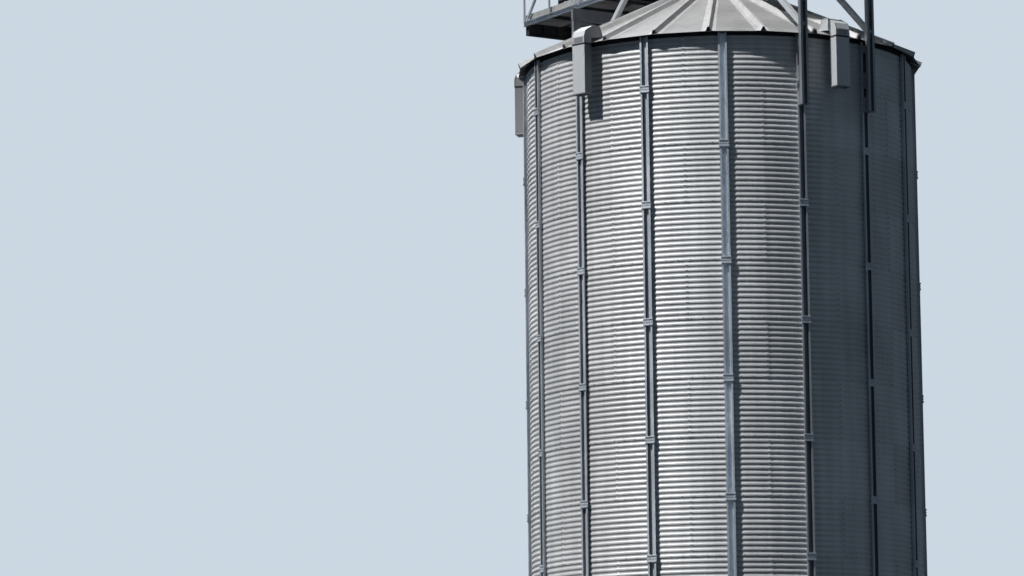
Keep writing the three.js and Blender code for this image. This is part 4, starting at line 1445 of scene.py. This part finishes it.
@dataclass
class Supports:
    """The conveyor's legs: wide ones every second metre and posts with curved brackets between."""

    leg: float = 0.05
    leg_length: float = 0.18
    rail: tuple[float, float] = (0.025, 0.006)
    post_length: float = 0.06
    bracket: float = 0.32
    bracket_steps: int = 8
    bracket_web: float = 0.008
    inner_end: float = 0.23
    steel: float = 0.006
    base_plate: float = 0.010
    base_bolt: Bolt = (0.012, 0.011)
    seat_bolt: Bolt = (0.012, 0.010)

    def wide_leg(self) -> bpy.types.Mesh:
        """Builds a wide leg, a channel on a base plate, about x = 0 and y = 0."""
        form, deck, seat = Form("wide_leg"), BRIDGE.deck_top, BRIDGE.trough_low
        half, wide, base = self.leg_length / 2, self.leg / 2, deck + self.base_plate
        form.section(channel_section(2 * half, 2 * wide, self.steel), (0, 0, deck), (0, 0, seat), BACK)
        form.box((-wide, -half, deck), (wide, half, base), bevel=FINE_EDGE)
        form.bolts([(-0.006, y, base) for y in (-0.05, 0.05)], UP, *self.base_bolt)
        form.bolts([(-wide, y, seat - 0.026) for y in (-0.05, 0.05)], -RIGHT, *self.seat_bolt)
        return form.stamp()

    def post(self) -> bpy.types.Mesh:
        """Builds a slim post with its curved bracket towards -Y, about x = 0 and y = 0."""
        form, seat = Form("post"), BRIDGE.trough_low
        half, wide, reach = self.post_length / 2, self.leg / 2, self.bracket
        top = seat - 2 * self.rail[0]
        form.box((-wide, -half, BRIDGE.deck_top), (wide, half, seat), bevel=0.004)
        turns = spread(0.0, math.pi / 2, self.bracket_steps + 1)
        arc = [(-half - reach * (1 - math.cos(turn)), top - reach * (1 - math.sin(turn))) for turn in turns]
        web = [(-half, top), *arc[:-1], (arc[-1][0], top - 0.001), (arc[-1][0], top)]
        form.extrude([(-self.bracket_web / 2, y, z) for y, z in web], RIGHT * self.bracket_web)
        for (y0, z0), (y1, z1) in zip(arc, arc[1:]):
            form.bar((0, y0, z0), (0, y1, z1), 2 * wide, self.steel)
        return form.stamp()

    def build_half(self, name: str, node: str, sign: int) -> None:
        """Builds the legs of half the bridge.

        Args:
            name: The piece's name.
            node: The frame's node that it stands for.
            sign: -1 for the front half, 1 for the back one.
        """
        b, form, wide, post = BRIDGE, Form(name), self.wide_leg(), self.post()
        seat, (half, steel) = b.trough_low, self.rail
        places = [sign * y for y in (b.bay, 2 * b.bay, b.half_length - self.leg_length / 2)]
        rail = [(-x, y - half) for x, y in angle_section(half, steel)]
        for side in SIDES:
            x = b.conveyor_x + side * (b.casing_half - self.leg / 2)
            start, end = (x, sign * self.inner_end, seat), (x, sign * b.half_length, seat)
            form.section(rail, start, end, RIGHT * -side)
            form.add(wide, *[shift(x, y) @ Matrix.Diagonal((-side, 1, 1, 1)) for y in places])
            form.add(post, *[shift(x, sign * share * b.bay) for share in (0.5, 1.5, 2.5)])
        reach, low = b.casing_half - 0.02, seat - 2 * half
        for y in places:
            corner = (b.conveyor_x - reach, y - half, low)
            form.box(corner, (b.conveyor_x + reach, y + half, low + steel))
            form.box(corner, (b.conveyor_x + reach, y - half + steel, seat - 0.001))
        form.finish(Look.DARK, Slot.DARK, node)

    def build(self) -> None:
        """Builds both halves."""
        self.build_half("conveyor_legs_front", "conveyor_supports_front", -1)
        self.build_half("conveyor_legs_back", "conveyor_supports_back", 1)


@dataclass
class Portals:
    """The portals outside the eave: channel posts on wall brackets, a header and knee bars to the bridge."""

    offset: float = 0.789
    back: float = 3.922
    depth: float = 0.075
    width: float = 0.165
    lip: float = 0.046
    steel: float = 0.009
    plate: float = 0.008
    bolt: Bolt = (0.014, 0.011)
    bottom: float = -1.40
    header_low: float = 1.72
    header_half: float = 0.88
    knee: float = 0.095
    knee_post_height: float = 0.14
    knee_chord_height: float = 1.93
    knee_chord_y: float = 2.0
    knee_bolt: Bolt = (0.013, 0.010)
    bracket_angle: float = 11.25
    bracket_half: float = 0.07
    bracket_inner: float = 3.8906
    brackets: tuple[Point, ...] = ((-1.39, -1.10), (-0.93, -0.625), (-0.24, -0.10))

    def wall_bracket(self, low: float, high: float) -> bpy.types.Mesh:
        """Builds a bracket between a wall stiffener and a post: two plates, joined by a web, with bolts."""
        form, plate = Form("bracket"), self.plate
        half, near, far = self.bracket_half, -self.bracket_inner, -self.back - 0.03
        form.box((-half, near - plate, low), (half, near, high), bevel=FINE_EDGE)
        for x in (-half, half - plate):
            form.box((x, far, low), (x + plate, near - plate / 2, high), bevel=FINE_EDGE)
        form.bolts(pairs(0, near - plate, (low + 0.04, high - 0.04), 0.035), FRONT, *self.bolt)
        return form.stamp()

    def portal(self) -> bpy.types.Mesh:
        """Builds the front portal."""
        form, steel, plate = Form("portal"), self.steel, self.plate
        front, back, middle = -self.back - self.depth, -self.back, -self.back - self.depth / 2
        bottom, header, chord = self.bottom, self.header_low, BRIDGE.chord_low
        half, reach, centre = self.width / 2, self.header_half, (header + chord) / 2
        beam = side_channel(self.depth, chord - header, steel)
        form.section(beam, (-reach, middle, centre), (reach, middle, centre), FRONT)
        for x in (-reach, reach - plate):
            form.box((x, front, header), (x + plate, back, chord), bevel=FINE_EDGE)
        outline = [(x, back - y) for x, y in lipped_section(self.width, self.depth, self.lip, steel)]
        brackets = [self.wall_bracket(low, high) for low, high in self.brackets]
        bracket_bolts = [z for low, high in self.brackets for z in (low + 0.05, high - 0.05)]
        foot, apex = self.knee_post_height, -self.knee_chord_y
        for sign in SIDES:
            x = sign * self.offset
            form.section(outline, (x, 0, bottom), (x, 0, header + 0.002))
            for low, high in ((header - 0.012, header), (bottom, bottom + plate)):
                form.box((x - half, front, low), (x + half, back, high), bevel=FINE_EDGE)
            inner = half - steel
            for z in (header - 0.20, 0.60, -0.60):
                form.box((x - inner, front + steel, z), (x + inner, back - steel + 0.001, z + plate))
            for near, far in (
                ((x - 0.006, middle - 0.02, foot - 0.10), (x + 0.006, middle + 0.18, foot + 0.13)),
                ((x - 0.06, apex - 0.13, chord - 0.012), (x + 0.06, apex + 0.10, chord - 0.001)),
            ):
                form.box(near, far, bevel=FINE_EDGE)
            for y in (apex - 0.11, apex + 0.08):
                form.bolts(pairs(x, y, (chord - 0.012,), 0.04), -UP, *self.knee_bolt)
            seams = (header + 0.05, header + 0.12, chord - 0.05)
            for heights, aside in ((seams, 0.04), (bracket_bolts, 0.035)):
                form.bolts(pairs(x, back - steel, heights, aside), FRONT, *self.bolt)
            for bracket in brackets:
                form.add(bracket, around(sign * self.bracket_angle))
        return form.stamp()

    def build_knees(self) -> None:
        """Builds the four knee bars between the posts and the trusses' lower chords."""
        form, post_y = Form("bridge_knees"), self.back + self.depth / 2
        for sign in SIDES:
            for x in (-self.offset, self.offset):
                start = (x, sign * post_y, self.knee_post_height)
                end = (x, sign * self.knee_chord_y, self.knee_chord_height)
                form.bar(start, end, self.knee, self.knee)
        form.finish(Look.DUCT, Slot.SECTION)

    def build(self) -> None:
        """Builds the knee bars, the front portal and its mirror image behind."""
        self.build_knees()
        portal = self.portal()
        for end, turn in (("front", Matrix()), ("back", TO_BACK)):
            form = Form(f"bridge_portal_{end}")
            form.add(portal, turn)
            form.finish(Look.POST, Slot.SECTION, f"portal_{end}")


@dataclass
class Studio:
    """The floor, the backdrop, the light and the camera."""

    sun_side: tuple[float, float] = (-0.9997, 0.026)
    sun_elevation: float = 51.0
    sun_strength: float = 4.5
    sun_softness: float = 2.0
    sun_colour: Colour = (1.0, 0.985, 0.965)
    back_side: tuple[float, float] = (0.28, 0.96)
    back_elevation: float = 32.0
    back_strength: float = 1.3
    back_softness: float = 30.0
    back_colour: Colour = (0.92, 0.96, 1.0)
    sky: Colour = (0.074, 0.098, 0.126)
    ground: Colour = (0.060, 0.075, 0.092)
    horizon: tuple[float, float] = (-0.04, 0.06)
    backdrop: Colour = (0.60, 0.68, 0.76)
    floor_colour: Colour = (0.36, 0.36, 0.36)
    floor_roughness: float = 0.9
    floor_height: float = -0.002
    floor_radius: float = 260.0
    backdrop_radius: float = 300.0
    frame_width: int = 1024
    focal_pixels: float = 4089.0
    sensor: float = 36.0
    view_distance: float = 2000.0
    camera_at: tuple[float, float, float] = (-45.93, -65.53, 1.61)
    camera_heading: tuple[float, float] = (0.5307, 0.8476)
    camera_pitch: float = 8.46
    camera_roll: float = -0.631

    def make_camera(self) -> None:
        """Places the camera that took the photograph."""
        pitch, roll = math.radians(self.camera_pitch), math.radians(self.camera_roll)
        hx, hy = self.camera_heading
        right = Vector((hy, -hx, 0))
        forward = Vector((hx * math.cos(pitch), hy * math.cos(pitch), math.sin(pitch)))
        upward = right.cross(forward)
        side = right * math.cos(roll) + upward * math.sin(roll)
        top = upward * math.cos(roll) - right * math.sin(roll)
        lens = bpy.data.cameras.new("camera")
        lens.sensor_width = self.sensor
        lens.lens = self.focal_pixels / self.frame_width * self.sensor
        lens.clip_end = self.view_distance
        camera = bpy.data.objects.new("camera", lens)
        turn = Matrix((side, top, -forward)).transposed().to_4x4()
        camera.matrix_world = Matrix.Translation(self.camera_at) @ turn
        bpy.context.scene.collection.objects.link(camera)
        bpy.context.scene.camera = camera

    def lamp(
        self, name: str, side: Point, elevation: float, strength: float, softness: float, colour: Colour,
    ) -> None:
        """Adds a distant lamp.

        Args:
            name: Its name.
            side: The level direction towards it.
            elevation: Its height over the horizon, in degrees.
            strength: Its strength.
            softness: How wide it looks, in degrees.
            colour: Its colour.
        """
        lift = math.radians(elevation)
        towards = Vector((side[0] * math.cos(lift), side[1] * math.cos(lift), math.sin(lift)))
        light = bpy.data.lights.new(name, "SUN")
        light.energy = strength
        light.angle = math.radians(softness)
        light.color = colour
        holder = bpy.data.objects.new(name, light)
        holder.rotation_mode = "QUATERNION"
        holder.rotation_quaternion = towards.to_track_quat("Z", "Y")
        bpy.context.scene.collection.objects.link(holder)

    def make_light(self) -> None:
        """Sets a key light from the left, a soft one behind and an even, cool fill from above."""
        self.lamp(
            "key", self.sun_side, self.sun_elevation, self.sun_strength, self.sun_softness,
            self.sun_colour)
        self.lamp(
            "back", self.back_side, self.back_elevation, self.back_strength, self.back_softness,
            self.back_colour)
        g = Graph(bpy.data.worlds.new("fill"), "Generated")
        fill = g.mix(g.ranged(g.height(), *self.horizon), self.ground, self.sky)
        bpy.context.scene.world = g.close(g.node("ShaderNodeBackground", "Background", {"Color": fill}))

    def stage_piece(self, form: bmesh.types.BMesh, finish: bpy.types.Material) -> bpy.types.Object:
        """Makes a piece of the studio that only the camera sees, so it throws no light on the silo."""
        mesh = bpy.data.meshes.new(finish.name)
        form.to_mesh(mesh)
        form.free()
        mesh.materials.append(finish)
        piece = bpy.data.objects.new(finish.name, mesh)
        piece.visible_diffuse = False
        piece.visible_glossy = False
        bpy.context.scene.collection.objects.link(piece)
        return piece

    def make_floor(self) -> None:
        """Lays a pale floor at ground level and a plain backdrop round it."""
        g = Graph(bpy.data.materials.new("studio_floor"))
        disc = bmesh.new()
        bmesh.ops.create_circle(disc, cap_ends=True, segments=96, radius=self.floor_radius)
        bmesh.ops.translate(disc, vec=(0, 0, self.floor_height), verts=disc.verts)
        self.stage_piece(disc, g.surface(self.floor_colour, self.floor_roughness))
        shade = Graph(bpy.data.materials.new("studio_backdrop"))
        glow = shade.node("ShaderNodeEmission", "Emission", {"Color": self.backdrop})
        dome = bmesh.new()
        bmesh.ops.create_uvsphere(dome, u_segments=48, v_segments=24, radius=self.backdrop_radius)
        backdrop = self.stage_piece(dome, shade.close(glow))
        backdrop.visible_shadow = False
        backdrop.visible_transmission = False

    def build(self) -> None:
        """Builds the studio."""
        bpy.context.scene.view_settings.view_transform = "Standard"
        self.make_camera()
        self.make_light()
        self.make_floor()


def dress_frame_nodes(frame: dict) -> None:
    """Gives the frame's own nodes the finish of their slot.
    """
    for row in frame["record"]["subparts"]:
        look = Look[Slot(row["material_slot"]).name]
        for holder in frame["nodes"][row["node"]].material_slots:
            holder.material = material(look)


def main() -> None:
    """Builds every piece round the frame, in order."""
    logging.basicConfig(level=logging.INFO, format="%(message)s")
    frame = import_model()
    bpy.context.view_layer.update()
    Studio().build()
    dress_frame_nodes(frame)
    for part in (Wall, Stiffeners, Roof, Vents, Peak, Trusses, Walkway, Conveyor, Supports, Portals):
        part().build()
    bpy.context.view_layer.update()


if __name__ == "__main__":
    main()
